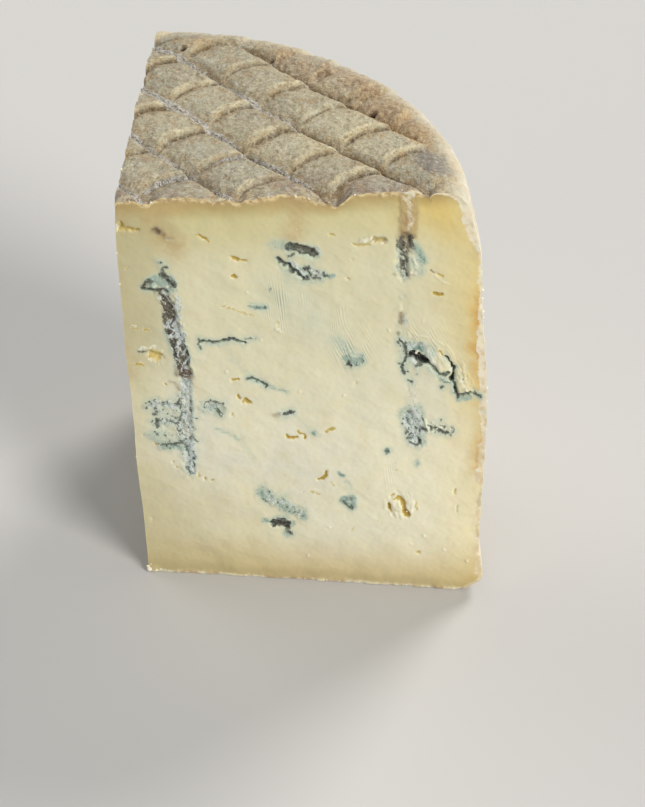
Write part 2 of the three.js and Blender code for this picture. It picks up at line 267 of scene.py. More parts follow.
    # painted highlights: white on the two raised bumps at (184.9, 432.6) and (190, 443)
    W([(184.9, 432.6)], 2.6, .8); W([(190, 443)], 1.8, .7)
    rng = np.random.default_rng(5)
    for (ax, ay), (bx, by), n, spread in (((147, 403), (182, 402), 40, 1.9), ((152, 420), (182, 422), 44, 2.8), ((153, 433), (180, 436), 12, 2.6), ((158, 444), (192, 444), 40, 2.2), ((180, 396), (181, 444), 38, 2.4), ((156, 404), (156, 416), 18, 1.6), ((158, 410), (178, 412), 8, 2.6),
                                          ((193, 402), (194, 470), 26, 1.8), ((184, 448), (190, 472), 22, 3.0), ((204, 410), (206, 402), 6, 1.4), ((206, 402), (223, 403), 12, 1.6), ((214, 408), (223, 414), 12, 2.2),
                                          ((404, 414), (406, 438), 12, 2.0), ((408, 438), (420, 444), 12, 2.2), ((406, 424), (422, 420), 16, 5.0), ((428, 428), (452, 431), 16, 3.4), ((262, 492), (303, 515), 34, 3.4), ((398, 336), (408, 372), 18, 3.0)):
        for t in rng.random(n):
            D([(ax + t * (bx - ax) + rng.normal(0, spread * .8), ay + t * (by - ay) + rng.normal(0, spread))], rng.uniform(.4, 1.25), rng.uniform(.55, .95), soft=1.1)
    # --- fine black crack
    D([(198.3, 337), (200, 340), (198.2, 344), (200.2, 349)], 1.0, .85); B([(199.5, 347)], 3, .5)
    D([(199.3, 341.2), (207.6, 341.2), (215.9, 342.1), (222.4, 341.2), (230.7, 338.9), (238.1, 341.4), (244.6, 342.6)], 1.05, 1.0)
    D([(244.6, 342.6), (245.6, 338.9), (249.3, 337.5), (255.7, 338)], .8, .7)
    H([(199.3, 341.2), (215.9, 342.1), (230.7, 338.9), (244.6, 342.6)], 1.1, .9, soft=.8)
    B([(205, 341), (225, 341), (245, 341), (255, 338)], 4, .3, soft=3); P([(210, 344), (220, 344)], 1.2, .6)
    # --- top middle lens and navy crack
    D([(287, 247), (297, 246.5), (306, 249), (313.5, 252.5)], 4.2, .80, soft=3.4); B([(284, 246), (314, 252)], 6.5, .5, soft=4); D([(289.7, 250.2), (298.2, 251.8), (308, 255), (313.5, 256)], 1.3, .86, soft=1.6)
    N_([(296, 248), (303, 249), (313, 253)], 3.4, .30, soft=3); D([(284, 243), (289, 246)], 2.6, .34, soft=3); D([(288.3, 255.9), (294, 254.5)], 1.4, .7)
    B([(273, 245), (283, 244)], 7, .4, soft=5); B([(290, 250), (316, 256)], 9, .28, soft=5); P([(317, 246), (319.5, 254)], 2.4, .6)
    H([(289, 248), (298, 249), (312, 254)], 4, .7, soft=3); R([(288, 248), (312, 253)], 5, .5, soft=3)
    D([(277.1, 258.7), (282.7, 262.9), (289, 265.7), (291.8, 270.6), (296.8, 272.7), (301, 276.2), (303, 279)], 1.7, .97)
    D([(303, 278.5), (309, 277.5), (309.4, 270.6), (303.8, 267.8)], 1.9, .93); D([(315.7, 277), (319.9, 279.7)], 1.6, .85)
    D([(322.7, 274.1), (324.1, 277)], 1.8, .9); B([(324, 276), (333.2, 276.2)], 2.0, .85); D([(325, 277), (330, 277)], .8, .5)
    P([(290, 262.5), (297, 268), (304, 272)], 3.4, .8); P([(304, 270), (306, 274)], 1.8, .8); P([(311, 272), (319, 275)], 3.4, .95); D([(309.6, 267), (311, 271), (310.6, 277)], 1.2, .9); D([(313, 279), (320, 280)], 1.3, .85); D([(316, 271), (318.6, 273)], .9, .7); W([(313, 273), (316, 276)], 1.4, .6); B([(283, 270), (300, 281), (320, 282)], 6, .32, soft=4)
    H([(277.1, 258.7), (289, 265.7), (296.8, 272.7), (302, 278), (309, 276)], 1.8, .8, soft=1); R([(280, 262), (300, 272), (322, 277)], 5, .55, soft=3)
    K([(285, 262), (305, 273), (322, 276)], 5, .4)
    # --- teal blob, dots, smears
    B([(246.5, 306.2), (256, 307.4)], 1.4, .75, soft=2.0); B([(256, 307.4), (265.5, 308.4)], 2.4, .9, soft=2.2); B([(249, 303.2), (262, 304)], 2.6, .38, soft=2.6)
    D([(256.5, 307.6), (260.5, 308)], 1.1, .6, soft=1.4); D([(264.4, 306.2), (265.6, 309)], 1.3, .62, soft=1.4)
    D([(270.1, 289.2)], 1.1, .55); B([(262, 288), (275, 300), (288, 318), (298, 332)], 20, .17, soft=14)
    B([(300, 285), (330, 305), (345, 330)], 24, .12, soft=18); B([(287, 279), (290, 287)], 5, .3, soft=4)
    B([(338, 340), (349, 352), (360, 361)], 8, .38, soft=6); B([(345, 358), (354, 362), (363, 359)], 4.6, .62, soft=3.5); B([(341, 345), (350, 356)], 4.5, .4, soft=4)
    D([(347.6, 362.8), (352, 364.8)], 1.8, .9, soft=1.4); D([(356.6, 363), (357, 365)], 1.0, .66); D([(360.2, 358.8)], .9, .6); D([(362.8, 356.6), (363.4, 361.4)], .9, .72); D([(359.4, 362)], .8, .62); P([(350, 359), (357, 360)], 1.8, .4)
    B([(231, 359), (240, 366), (252, 375)], 3.6, .28, soft=3)
    D([(248.3, 378.9), (256.7, 379.6), (261.3, 382.4), (265.9, 387)], 1.5, .85); B([(250, 378), (266, 385)], 4, .5, soft=3)
    B([(266, 386), (273.3, 388), (288.1, 393.5)], 2.4, .5, soft=2); H([(252, 379), (265, 386)], 1.6, .5, soft=1)
    N_([(274.3, 414.8), (278.9, 415.7)], 1.6, .6); D([(284.4, 414.6), (287.2, 412), (292.8, 411.1)], 1.5, .92); P([(279, 413), (290, 414)], 2.4, .5)
    B([(293, 414), (306, 425), (314.1, 433.3)], 3, .28, soft=2.5); B([(313.4, 433.2)], 2.6, .78, soft=2.2); B([(309, 430), (317, 434)], 4.4, .3, soft=3); D([(313.6, 433.6)], 1, .34)
    B([(215.9, 428.7), (228.9, 432.4), (240, 438.9)], 2.3, .5, soft=1.8); B([(240, 438.9), (245.6, 448.1), (254.8, 459.3)], 2.6, .28, soft=2)
    D([(203.9, 411.1), (203.4, 406), (206, 403.4), (210, 402.3), (215, 401.9)], 1.3, .78); D([(222.4, 402.8)], 1.7, .8)
    D([(216.9, 411.1), (221.5, 415.7)], 1.9, .92); P([(208, 408), (216, 407)], 4.2, .6); B([(204, 408), (222, 410)], 7, .35, soft=5)
    K([(205, 406), (222, 410)], 7, .5); R([(205, 406), (222, 410)], 6, .5, soft=3); H([(206, 406), (220, 409)], 4, .4, soft=2)
    # --- right needle channel
    F['tan'].append((np.array([(407, 194), (409, 212), (408, 236)], float), 9.0, .8, 3.0)); W([(404, 196), (410, 204), (409, 213), (412, 222), (409, 229)], 3.4, .42, soft=2.4); N_([(400, 196), (400.5, 232)], 1.6, .30, soft=1.5); N_([(416.5, 196), (417, 230)], 1.4, .24, soft=1.5)
    N_([(404, 214), (407, 220), (405, 227)], 1.8, .22, soft=1.5); N_([(412, 206), (413, 214)], 1.6, .2, soft=1.5); K([(408, 198), (408, 232)], 7, .4, soft=3)
    W([(400, 186), (407, 189), (413, 188), (410, 195)], 3.4, .55, soft=2); N_([(413, 184), (415, 194)], 2.0, .2); U([(402, 187), (412, 190)], 3.0, .2, soft=2)
    R([(408, 195), (408, 234)], 6, .35, soft=2.5)
    D([(402, 241), (400, 250), (401, 257)], 4.8, .68, soft=2.8); D([(411, 238), (410.5, 246)], 3.8, .68, soft=2.6); D([(402.5, 260), (404, 268), (404.5, 275)], 5.0, .68, soft=2.8); D([(406, 250), (407, 262)], 3.4, .5)
    N_([(404, 237), (406, 246)], 7.5, .40); N_([(404, 250), (404, 272)], 6.5, .14); D([(399.8, 249.9), (400.4, 253)], 1.4, .92); D([(411, 245.6)], 1.5, .9); D([(404, 276.6)], 1.3, .9)
    D([(398, 268), (399, 273)], 1.4, .7); N_([(404, 235.5), (414, 236)], 2.6, .5); W([(405.2, 251)], 1.6, .6); N_([(393.8, 274.9)], 1.3, .5)
    B([(415, 246), (420, 254), (424, 261)], 4.0, .78, soft=6.0); B([(419.6, 255.4), (423.6, 260)], 2.6, .9, soft=3.4); D([(420.6, 256.5), (424, 260.6)], 1.3, .46, soft=2.2); B([(412, 248), (417, 256), (418, 264)], 3.5, .45, soft=5); D([(414, 249), (417, 252)], 1.6, .45)
    B([(413, 262), (420, 270)], 7.5, .40, soft=6); W([(413, 256), (417, 264), (419, 271)], 1.3, .55); W([(409, 266), (412, 273)], 1.2, .5); W([(410, 272), (418, 273)], 1.2, .4)
    K([(404, 238), (404, 275)], 7, .85, soft=2.5); R([(405, 238), (404, 275), (416, 264)], 7, .9, soft=3); H([(405, 239), (401, 252), (404, 275)], 5.5, .9, soft=2.5)
    N_([(431.4, 270.4), (434.8, 272.6)], 1.0, .95, soft=.9); A([(438, 274), (443, 276)], 1.3, .75); W([(426, 267), (431, 268.6)], .7, .5); W([(436, 276.6), (447, 283.6)], .8, .6); U([(436, 276.6), (447, 283.6)], .9, .14, soft=1); W([(428, 270), (436, 275.6)], .7, .5); H([(431.4, 270.4), (441, 275.4)], .8, .3, soft=1)
    A([(434, 294.6), (441, 295.4)], 2.3, .95, soft=1.2); H([(434, 295), (441, 295)], 1.8, .45, soft=1.2)
    B([(402.5, 296.6)], 4.4, .3, soft=3); N_([(401.4, 313.5), (401.6, 322)], 2.2, .75); D([(401.4, 320), (402, 324)], 1.3, .4); B([(406, 322)], 2.4, .5); P([(405, 315), (408, 327)], 2.2, .5)
    R([(402, 300), (402, 332)], 4, .35, soft=3); D([(399, 333.4)], 1.9, .5); N_([(399, 333.4)], 1.9, .4)
    D([(397.6, 342.5)], 2, .72); D([(401.1, 340.1)], 2.1, .85); D([(405.4, 341.8)], 2.1, .88); D([(402.5, 345)], 1.8, .72); K([(401, 342)], 6, .6)
    D([(402, 341), (405.6, 347), (406.2, 354.5), (404.2, 360), (402.5, 366.4), (403.6, 372.7)], 1.9, .95); B([(402, 340), (406, 352), (404, 370)], 6, .38, soft=3.5)
    P([(409.5, 344), (410.5, 358), (416, 368)], 2.2, .75); B([(408, 345), (430, 352)], 8, .4, soft=4)
    D([(413, 354.6), (420, 359.6), (424.6, 360.6)], 4.6, 1.35, soft=1.4); D([(416, 365.5), (422, 366)], 1.3, .85)
    H([(413, 354.6), (420, 359.6), (424.6, 360.6)], 4.2, 2.3, soft=1.4); W([(417.3, 351.8)], 1.9, 1.0, soft=.7); W([(425.9, 358.2)], 1.2, 1.0, soft=.5)
    U([(417.3, 351.8)], 1.9, .5, soft=.8)
    B([(416, 348), (423, 349.5)], 3, .9, soft=1.6); P([(414, 344.5), (424, 345.5)], 2.0, .7); W([(424, 346), (429, 354), (434.5, 362.6)], 1.8, .34)
    for q in (((411, 343), (420, 342.5), (427, 347)), ((424, 345), (429, 353), (434.5, 362)), ((412, 339), (421, 336), (428, 339)), ((406, 333), (411, 338)), ((409, 330), (417, 337))):
        U(q, .8, .17, soft=.8); W(q, .7, .2)
    plate([(425, 346), (434, 349.5), (441, 353.5), (445.5, 359), (449.3, 366), (448.6, 371), (444.6, 373.6), (440.6, 373.4), (436.9, 370), (433.4, 366.4), (427.5, 362.8), (424.6, 356)], .8, 2.6, (.55, .83))
    plate([(455.3, 366), (460, 371), (466, 379), (472, 387), (477.6, 393.6), (470, 391.8), (464.5, 393), (460, 393.8), (457, 389), (455.6, 381), (454.4, 373)], .8, 2.2, (-.2, .98))
    P([(427, 350), (436, 366)], 4.5, .4, soft=3); R([(410, 346), (430, 355), (440, 372)], 8, .7, soft=4); K([(408, 350), (432, 360)], 8, .35)
    D([(427.1, 364.3), (433.4, 367.8), (436.9, 371.3), (440.4, 374.8), (444.6, 374.8), (448.2, 372)], 1.05, .95); H([(427.1, 364.3), (440.4, 374.8), (448.2, 372)], 1.1, .8, soft=.8)
    B([(428, 367), (440, 378), (452, 385)], 5, .35, soft=4)
    A([(439, 351), (445.4, 357.3)], .9, .9); D([(445.4, 357.3), (448.2, 360.8), (451, 365)], 1.2, 1.1, soft=.9); D([(453.1, 367.8)], 2.2, 1.35, soft=1.0)
    D([(453.1, 368), (453.8, 373.4)], 1.0, .9); D([(451.7, 376.6), (452.6, 378.6)], 2.4, 1.35, soft=1.0)
    D([(453, 378), (454.1, 381.1), (455.9, 386.1), (455.5, 393.8), (457.5, 397)], 1.1, .95); D([(458.4, 397.4)], 2.0, .9)
    D([(460, 395.2), (464.3, 394.5), (469.9, 393.1)], 1.6, .92); D([(474.8, 391.7), (481.1, 396.6)], 1.3, .8); D([(467, 391), (469, 394)], 1.4, .8)
    B([(458, 400), (470, 397)], 3.4, .55, soft=2.5); B([(476, 393), (481, 397)], 2.2, .7); B([(452, 380), (453, 392)], 4, .4, soft=3)
    H([(445.4, 357.3), (451, 365), (453.4, 372), (452, 378), (455.5, 388), (457, 396)], 1.2, 1.3, soft=1.0); H([(460, 395.2), (470, 393)], 1.6, .8, soft=1)
    B([(440.4, 378.3), (444.6, 381.1), (452.4, 382.5)], 1.6, .85); D([(442, 379), (446, 381.3), (451, 382.3)], .7, .6)
    D([(442.5, 387.5)], 1.6, .85); B([(442, 387)], 4, .3, soft=2.5); D([(417.3, 374.8)], 1.2, .6); D([(408.2, 380.4), (411.7, 381.8)], 1.8, .78); B([(410, 381)], 5, .3, soft=3)
    D([(460.1, 375.2)], 1.2, .5); D([(462.9, 379)], 1.2, .6); W([(459.4, 379), (467.8, 389.6)], 1.5, .5); U([(459.4, 379), (467.8, 389.6)], 1.2, .35, soft=1.0)
    W([(462.9, 366.4), (466.4, 381)], .9, .35); U([(462.9, 366.4), (466.4, 381)], 1.0, .3, soft=1); A([(464, 369), (467, 380)], .9, .4)
    W([(448.8, 367), (451, 371)], 1.1, .8); W([(449.5, 380.2)], 1.2, .7)
    for q in (((441, 344), (451, 356), (458, 368)), ((436, 340), (444, 348)), ((446, 346), (456, 358)), ((431, 341), (437, 348)), ((461, 362), (468, 374), (474, 384)), ((463, 372), (470, 383))):
        U(q, .8, .15, soft=.8)
    R([(448, 362), (458, 380), (468, 392)], 7, .6, soft=3)
    P([(411, 386), (412, 408)], 4.2, .36, soft=3); R([(411, 386), (412, 408)], 4, .4, soft=3)
    P([(408, 419), (411, 430), (414, 441)], 6.2, .85, soft=2); P([(416, 414), (419, 432)], 5.0, .8, soft=2); B([(404, 414), (418, 410), (420, 440)], 8, .42, soft=4)
    D([(409.2, 412.5)], 2.0, .75); D([(403.2, 419.6)], 2.0, .7); D([(407.5, 422.4), (409, 426)], 1.3, .7); D([(406.8, 431.5)], 2.0, .95); D([(408.9, 435)], 2.2, .92)
    D([(414.5, 430), (420, 429.6), (426.4, 430)], 1.4, .92); D([(411.7, 435), (416.6, 435)], 1.0, .75); D([(421.5, 438.5), (420, 442.7)], 2.0, .95)
    D([(411, 442), (415.2, 445.5), (418, 445)], 1.5, .85); D([(421.8, 417), (424, 421)], 1.2, .85); D([(422.2, 425.5), (422.6, 430)], 1.2, .8); D([(418, 411), (420, 414)], 1.1, .5)
    K([(408, 416), (420, 440)], 8, .55, soft=3); R([(408, 416), (414, 430), (418, 442)], 8, .8, soft=3); H([(408, 418), (414, 430), (416, 441)], 5.5, .6, soft=3)
    D([(428.5, 425.2), (430.6, 429.4)], 1.2, .92); D([(430.6, 429.4), (434.8, 425.2)], .8, .7); D([(434, 427), (436, 428)], 1.4, .75)
    D([(436, 429.5), (438.3, 431.5), (444.6, 434.3), (447.5, 432.9)], 1.3, .95); D([(447.5, 432.9), (443.2, 429.4), (442.5, 426.6)], .8, .65)
    D([(452.4, 427), (453.1, 432.2), (449.6, 435)], .95, .7); W([(426.6, 421), (427.4, 432)], 1.3, .9); U([(426.6, 421), (427.4, 432)], 1.3, .5, soft=.8)
    W([(433, 422), (434, 425)], 1.1, .7); W([(439.5, 427), (444, 431)], 1.3, .8); W([(450, 429), (449, 433)], 1.1, .7); W([(448, 436)], 1, .7)
    R([(428, 428), (452, 431)], 5, .6, soft=3); H([(430, 428), (438, 431.5), (446, 434)], 1.6, .6, soft=1); B([(430, 430), (452, 432)], 5, .25, soft=3)
    B([(386.4, 451.1)], 3.2, .95, soft=2); D([(385.2, 451.2), (388, 451.6)], 1.5, .75, soft=1.6); B([(390, 450)], 5, .25, soft=3); B([(417.3, 463.8)], 3.6, .6, soft=2.6); B([(415, 450), (417, 462)], 5, .2, soft=4)
    for q in ((394.8, 463), (397.6, 469.4), (394.1, 472.9)):
        A([q], 1.1, .55); W([(q[0] - 2.4, q[1] - 1)], 1.2, .45)
    # --- low blue patches
    B([(261, 493), (268.8, 498.1)], 6.0, .62, soft=4.5); B([(280, 503), (292, 510)], 6.0, .62, soft=4.5); B([(300, 513), (304, 516)], 4.6, .6, soft=4); B([(262, 492), (304, 516)], 10, .22, soft=6)
    P([(266, 492), (270, 499), (291, 506), (304, 513)], 2.2, .55); D([(259, 491.4)], 1.0, .55); D([(266.5, 494.5)], 1.0, .55); D([(265, 500), (269.5, 504.5)], 1.2, .62, soft=1.6)
    D([(279.6, 504.2)], 1.1, .55, soft=1.5); D([(287, 511.5), (291, 513)], 1.1, .55, soft=1.6); D([(288, 505)], .8, .45); D([(301, 515), (303, 516)], 1.1, .6, soft=1.4)
    K([(262, 494), (304, 515)], 8, .7, soft=3); R([(262, 494), (304, 515)], 6, .45, soft=3)
    D([(273.4, 523.6), (281, 523.2), (287.5, 525.4)], 4.0, .95, soft=1.8); D([(278, 519.8), (284, 519.6)], 1.8, .8, soft=1.4); D([(286.6, 528), (290, 533.4)], 2.0, .74, soft=1.8); B([(263, 520.6), (271, 523.5)], 1.9, .85); K([(274, 522), (286, 525)], 4, .35)
    for qx, qy in ((268, 497), (273, 503), (279, 503.5), (284, 506), (289, 509), (295, 510.5), (300, 513)):
        W([(qx - 1.3, qy + 2.5), (qx + 1.3, qy - 2.3)], .55, .62); U([(qx - 1.3, qy + 2.5), (qx + 1.3, qy - 2.3)], .6, .12, soft=.8)
    B([(288, 533)], 5, .5, soft=3); B([(293, 524)], 3.4, .5, soft=2.4); B([(275, 520), (285, 519)], 4.5, .4, soft=2.5); N_([(277, 523), (286, 525)], 2.4, .35)
    H([(273, 524), (287, 525)], 3.4, .7, soft=1.8); R([(273, 524), (287, 526)], 4, .7, soft=2)
    B([(339.6, 472), (343.4, 475.4)], 2.1, .85, soft=1.7); D([(341, 473.4), (342.6, 474.8)], .8, .36); B([(345.6, 481.6), (349.8, 486.4)], 2.2, .52, soft=2.2)
    D([(342.4, 502), (347, 505), (353, 508)], 1.6, .80, soft=1.7); B([(342.6, 500.5), (352, 499.6), (353, 507), (345, 503)], 3.6, .72, soft=2.8); D([(350, 498.6), (351.6, 501.4)], 1.2, .6, soft=1.3); P([(348, 502), (356.5, 501)], 2.0, .45, soft=1.8); B([(344, 478), (350, 492)], 5, .22, soft=4)
    # --- pores, slits and cavities: translucent amber with pale crumbly rims
    def pore(*runs, dep=.5, crumbs=(), brown=None):
        for pts, r, a in runs:
            A(pts, r + .15, a, soft=.95)
            if r > .95:
                H(pts, r, dep, soft=1.2)
        for q in crumbs:
            W([q] if isinstance(q[0], (int, float)) else q, .95, .55)
        if brown:
            N_(brown[0], brown[1], .75, soft=.8)
    pore(([(120.4, 222.6), (121, 226)], 1.9, .62), ([(118.4, 228.6), (124, 229)], 3.1, .64), ([(124, 229.4), (131, 229.9)], 2.5, .64), ([(131, 230.2), (137.6, 230.6)], 1.4, .62), dep=.9); N_([(119, 225), (122, 229), (132, 230.4)], 2.6, .36, soft=2)
    W([(114.6, 223.4), (116.4, 229)], 1.6, .6)
    pore(([(195.8, 234.8), (199.4, 236.6)], .7, .85), ([(199.4, 236.6), (204.6, 239.4)], 1.4, .95), ([(204.6, 239.4), (208.6, 242.8)], .8, .95), crumbs=((193, 233), (210.4, 240.4)))
    pore(([(230.4, 256.8), (233, 258.6)], 1.0, .8), ([(233, 258.6), (237, 259.6)], 2.0, .9), ([(237, 260), (246, 261.4)], 1.0, .85), crumbs=((227.4, 258), (229, 261), [(241, 258), (246, 259)]))
    pore(([(232.6, 275.4), (235, 277.6)], 1.4, .95))
    pore(([(222, 306.4), (225, 305.4)], .8, .6), ([(227, 307.8), (230.6, 308.4)], .8, .65), ([(231, 309), (240, 312), (253, 315.6)], .7, .6), crumbs=((223, 303.6), (228, 305.8), (233, 307.4)))
    W([(236, 309), (247, 312.4)], .5, .4)
    pore(([(278.6, 322), (280, 324)], .9, .65), ([(276.4, 326), (279, 327.6)], .8, .5), crumbs=([(276, 324), (277.6, 330), (281, 332.4)],)); U([(277, 329), (281, 332)], 1.2, .22, soft=1.2)
    pore(([(133.4, 327), (138.6, 328)], .7, .9), ([(144, 328.8), (150.6, 330)], .7, .85), crumbs=([(133, 323.4), (137, 325)], (142.6, 326)), brown=([(135, 327.4), (138, 328)], .6))
    D([(139, 350.5), (143, 350.7), (147.6, 350.2)], .8, .66); N_([(138.5, 351.2), (150, 351)], 1.1, .7, soft=1); A([(150, 351), (157, 351.5)], 2.4, .68, soft=1.8); A([(151, 355.6), (160, 354.6)], 3.6, .66, soft=2.2); N_([(150, 354), (160, 355)], 3.6, .34, soft=2.4)
    A([(156, 359.5), (160, 358.5)], 1.8, .62, soft=1.4); N_([(158, 352), (161.5, 357)], 1.4, .34, soft=1.5); H([(150, 353), (159, 356.5)], 3.4, .75, soft=2.4); R([(145, 352), (160, 358)], 6, .4, soft=3)
    for q in ([(140, 346.4), (147, 346.6)], [(149, 347), (155, 346.6)], [(148, 358.4), (152.4, 361)], [(162, 350), (163.4, 356)], [(139, 348.4), (141, 348.4)]):
        W(q, 1.1, .6)
    pore(([(137, 364), (143.6, 365.8)], .9, .85), crumbs=((140, 362.4),)); pore(([(126.8, 268.4)], 1.5, .4), dep=.2)
    pore(([(232, 379.6), (234, 380.4)], 1.0, .85), ([(235.6, 380.2), (238, 380.8)], 1.2, .85), crumbs=((230, 378.4), (236, 377.6)))
    pore(([(237, 396), (239.6, 398)], 1.3, .95), crumbs=((235, 397.6),), brown=([(238.8, 397.8)], .7))
    pore(([(243.4, 402.2), (246, 400.2)], 1.2, .85), ([(246, 400.6), (248, 403)], 1.9, .95), ([(248, 402.8), (250.8, 402.8)], 1.1, .95), crumbs=((241, 400), (246, 405.8)))
    pore(([(286, 434.6), (287.6, 436.6)], 1.1, .95), ([(287.6, 436.9), (292.6, 437.9)], 1.7, 1.0), ([(292.6, 437.7), (296.8, 437)], 1.1, .95), crumbs=([(288, 441.2), (294, 441.2)],), brown=([(288.4, 437), (291.8, 437.5)], 1.1))
    pore(([(299, 431.8), (303, 433.6)], .9, .9), ([(303.6, 434), (304.9, 437.9)], 1.0, .95), crumbs=([(299.4, 435), (301.4, 438)],), brown=([(299.6, 432), (303, 433.5)], .7))
    pore(([(326, 430.6), (328, 428.4)], 1.2, .75), ([(328, 428.4), (333.2, 427.6)], 1.3, .75), crumbs=([(323.6, 427), (327, 425.6)],), dep=.25)
    pore(([(318, 479.6), (322, 478)], 1.2, .9), ([(322, 478), (325.6, 475)], 2.0, 1.0), ([(325.6, 475), (327.2, 472.2)], 1.3, .95), crumbs=([(315, 480), (317.4, 482)], (330.4, 476)), brown=([(324, 476.6), (326, 474.2)], .8))
    pore(([(330.6, 482), (333.8, 486.4)], .9, .5), ([(312.4, 491.4), (315, 493)], .9, .65), ([(317.4, 493.8), (319.6, 494.6)], .9, .65), crumbs=([(332.4, 481.4), (336, 487)], [(314, 489.8), (320, 491)]), dep=.2)
    pore(([(388.4, 505.4), (388.9, 508.6)], 1.6, 1.0), ([(389.6, 509), (390.6, 511.6)], .9, .95), brown=([(388.6, 506.4), (389.8, 510)], 1.0), dep=.7)
    pore(([(391.4, 496.6), (393.6, 495.4)], 1.0, .8), ([(394.8, 499.2), (396.4, 498)], .9, .75), ([(398.6, 498.4), (401.6, 501)], 1.9, .9), ([(401.6, 501), (404, 505.6)], 2.0, .95), ([(404, 505.6), (405.4, 510.6)], 1.5, .95), dep=.6)
    pore(([(404, 513), (407.2, 514.6)], 2.3, 1.1), ([(415.4, 502), (416.4, 509.6)], .9, .65), brown=([(404.8, 513.5), (406.4, 514.6)], 1.4), dep=.9)
    R([(389, 500), (396, 494), (408, 498), (412, 508), (404, 517), (390, 514), (389, 500)], 4, .6, soft=3); U([(396.5, 506)], 4.4, .36, soft=3); W([(396.5, 505)], 2.6, .16)
    for q in ([(410, 497), (412.6, 503)], [(412.4, 505), (411.6, 512)], [(384.6, 503), (385.8, 508)], [(398, 514.6), (401, 517)], [(387, 513), (390, 515.6)], [(396, 493.4), (399, 494.6)], [(408.6, 500), (408.8, 506)]):
        W(q, 1.1, .6); U(q, 1.0, .14, soft=1)
    for pts, r, a in (([(165.1, 384.4)], 1.2, .85), ([(329.8, 234), (333.6, 235)], 1.0, .75), ([(353, 244.4), (360, 245.6), (368.6, 245.6)], 1.0, .65), ([(352.6, 258.6)], 1.5, .6), ([(347.3, 279.2)], 1.1, .65), ([(355.6, 383)], 1.0, .5),
                      ([(155.4, 443.6)], 1.5, .85), ([(144.4, 436.5)], 1.0, .45), ([(173.7, 461.4)], 1.1, .6), ([(177.1, 467)], 1.3, .6), ([(198.6, 474.6)], 1.4, .7), ([(205.5, 477.4)], 1.1, .85), ([(212.4, 479.6)], 1.0, .85),
                      ([(303.7, 492.8)], .9, .6), ([(455.6, 488.6), (455.8, 493)], 1.0, .6), ([(456.3, 506.6), (456.5, 511)], 1.0, .6), ([(417.5, 552.6)], 1.6, .6), ([(377.3, 520.2)], .9, .55), ([(232.6, 413.9)], 1.2, .4),
                      ([(152, 520)], 1.4, .3), ([(242, 355)], .9, .25), ([(303, 296)], .9, .25), ([(420.5, 281)], .8, .4), ([(371, 304)], .9, .3), ([(312, 462)], .9, .3), ([(354, 528), (351, 531)], .8, .45), ([(340, 545)], .9, .25)):
        q = (pts[0][0] - r - 1.2, pts[0][1] - .6)
        pore((pts, r, a), crumbs=(q,) if a > .55 else (), dep=.35)
    A([(375.4, 241.5), (383.5, 241.3)], 2.8, .5, soft=1.8); N_([(375, 240.6), (384, 240.4)], 2.8, .85, soft=1.8); N_([(353, 244.6), (361, 246), (368.6, 245.8)], .9, .42, soft=.9); H([(375, 241.4), (383.5, 241.3)], 2.6, .8, soft=1.6)
    # painted highlight: white on the raised ridge between the olive cracks
    W([(361, 241), (370, 239)], 2.0, .6); U([(361, 241.5), (370, 239.5)], 2.2, .5, soft=1.5)
    N_([(154.6, 230.2), (157.6, 232.4)], 3.7, 1.05, soft=2.4); D([(155, 230.8), (157, 232.4)], 1.8, .42); N_([(158, 233), (164, 236.4)], 2.4, .72, soft=2.2); N_([(164, 236.6), (172.2, 238.7)], 1.5, .4, soft=1.8); N_([(163, 234)], 11, .16, soft=8)
    P([(166, 239), (170, 241)], 1.6, .5); W([(155, 240)], 2.0, .25); H([(156.4, 232)], 2.6, .6, soft=1.5)
    for pts, r, a, soft in (([(150, 222), (160, 236), (176, 246)], 10, .55, 12), ([(163, 232), (172, 240)], 6, .5, 6), ([(298, 200), (297, 222), (290, 246)], 9, .5, 11), ([(150, 212), (180, 208)], 6, .5, 7),
                            ([(262, 208), (330, 204)], 6, .3, 7), ([(124, 352), (130, 372)], 8, .3, 8), ([(121, 206), (124, 226)], 6, .35, 7)):
        F['tan'].append((np.array(pts, float), r, a, soft))
    for q in ((465.4, 560.3), (443.6, 550.5), (424.7, 536.4), (308, 556), (330, 528), (262, 340), (345, 395), (226, 372), (300, 392), (247, 292), (411, 543), (388, 330), (423, 321)):
        W([q], 1.5, .5); U([q], 1.3, .22, soft=1)
    return F


def to_face(px):
    """Where a line of sight meets the front face: distance from the tip, height."""
    ray = (px[:, :1] - 322.5) / CAM_F * CAM_RIGHT - (px[:, 1:] - 403.5) / CAM_F * CAM_UP - _back
    return (CAM_POS - ray * (CAM_POS[1] / ray[:, 1:2]))[:, [0, 2]]


def left_features():
    """The left cut face is out of sight: it gets veins, channels and pores like the front's, in other places."""
    G = front_features()
    F = {k: [] for k in G}
    # box in the photo's frame, then a turn of side (1 or -1), shift along, stretch and shift up
    groups = [((384, 180, 487, 450), -1, 104.0, 1.0, -6.0), ((134, 255, 208, 486), 1, 48.0, 1.0, 3.0), ((268, 236, 335, 290), -1, 96.0, 1.0, -50.0),
              ((254, 484, 312, 540), -1, 128.0, 1.0, 28.0), ((196, 330, 262, 356), -1, 92.0, 1.0, -28.0), ((0, 0, 645, 807), -1, 97.0, 0.93, 5.0)]

    def move(pts):
        a, b = pts[0]
        for (x0, y0, x1, y1), turn, dx, kz, dz in groups:
            if x0 <= a <= x1 and y0 <= b <= y1:
                q = to_face(pts)
                return np.stack([(turn * q[:, 0] + dx) * 3.5, (kz * q[:, 1] + dz) * 3.5], -1), turn

    for kind, strokes in G.items():
        for st in strokes:
            pts, turn = move(st[0])
            if kind == "plates":
                F[kind].append((pts, st[1], st[2], np.array([turn * st[3][0], -st[3][1]])))
            else:
                F[kind].append((pts,) + st[1:])
    return F


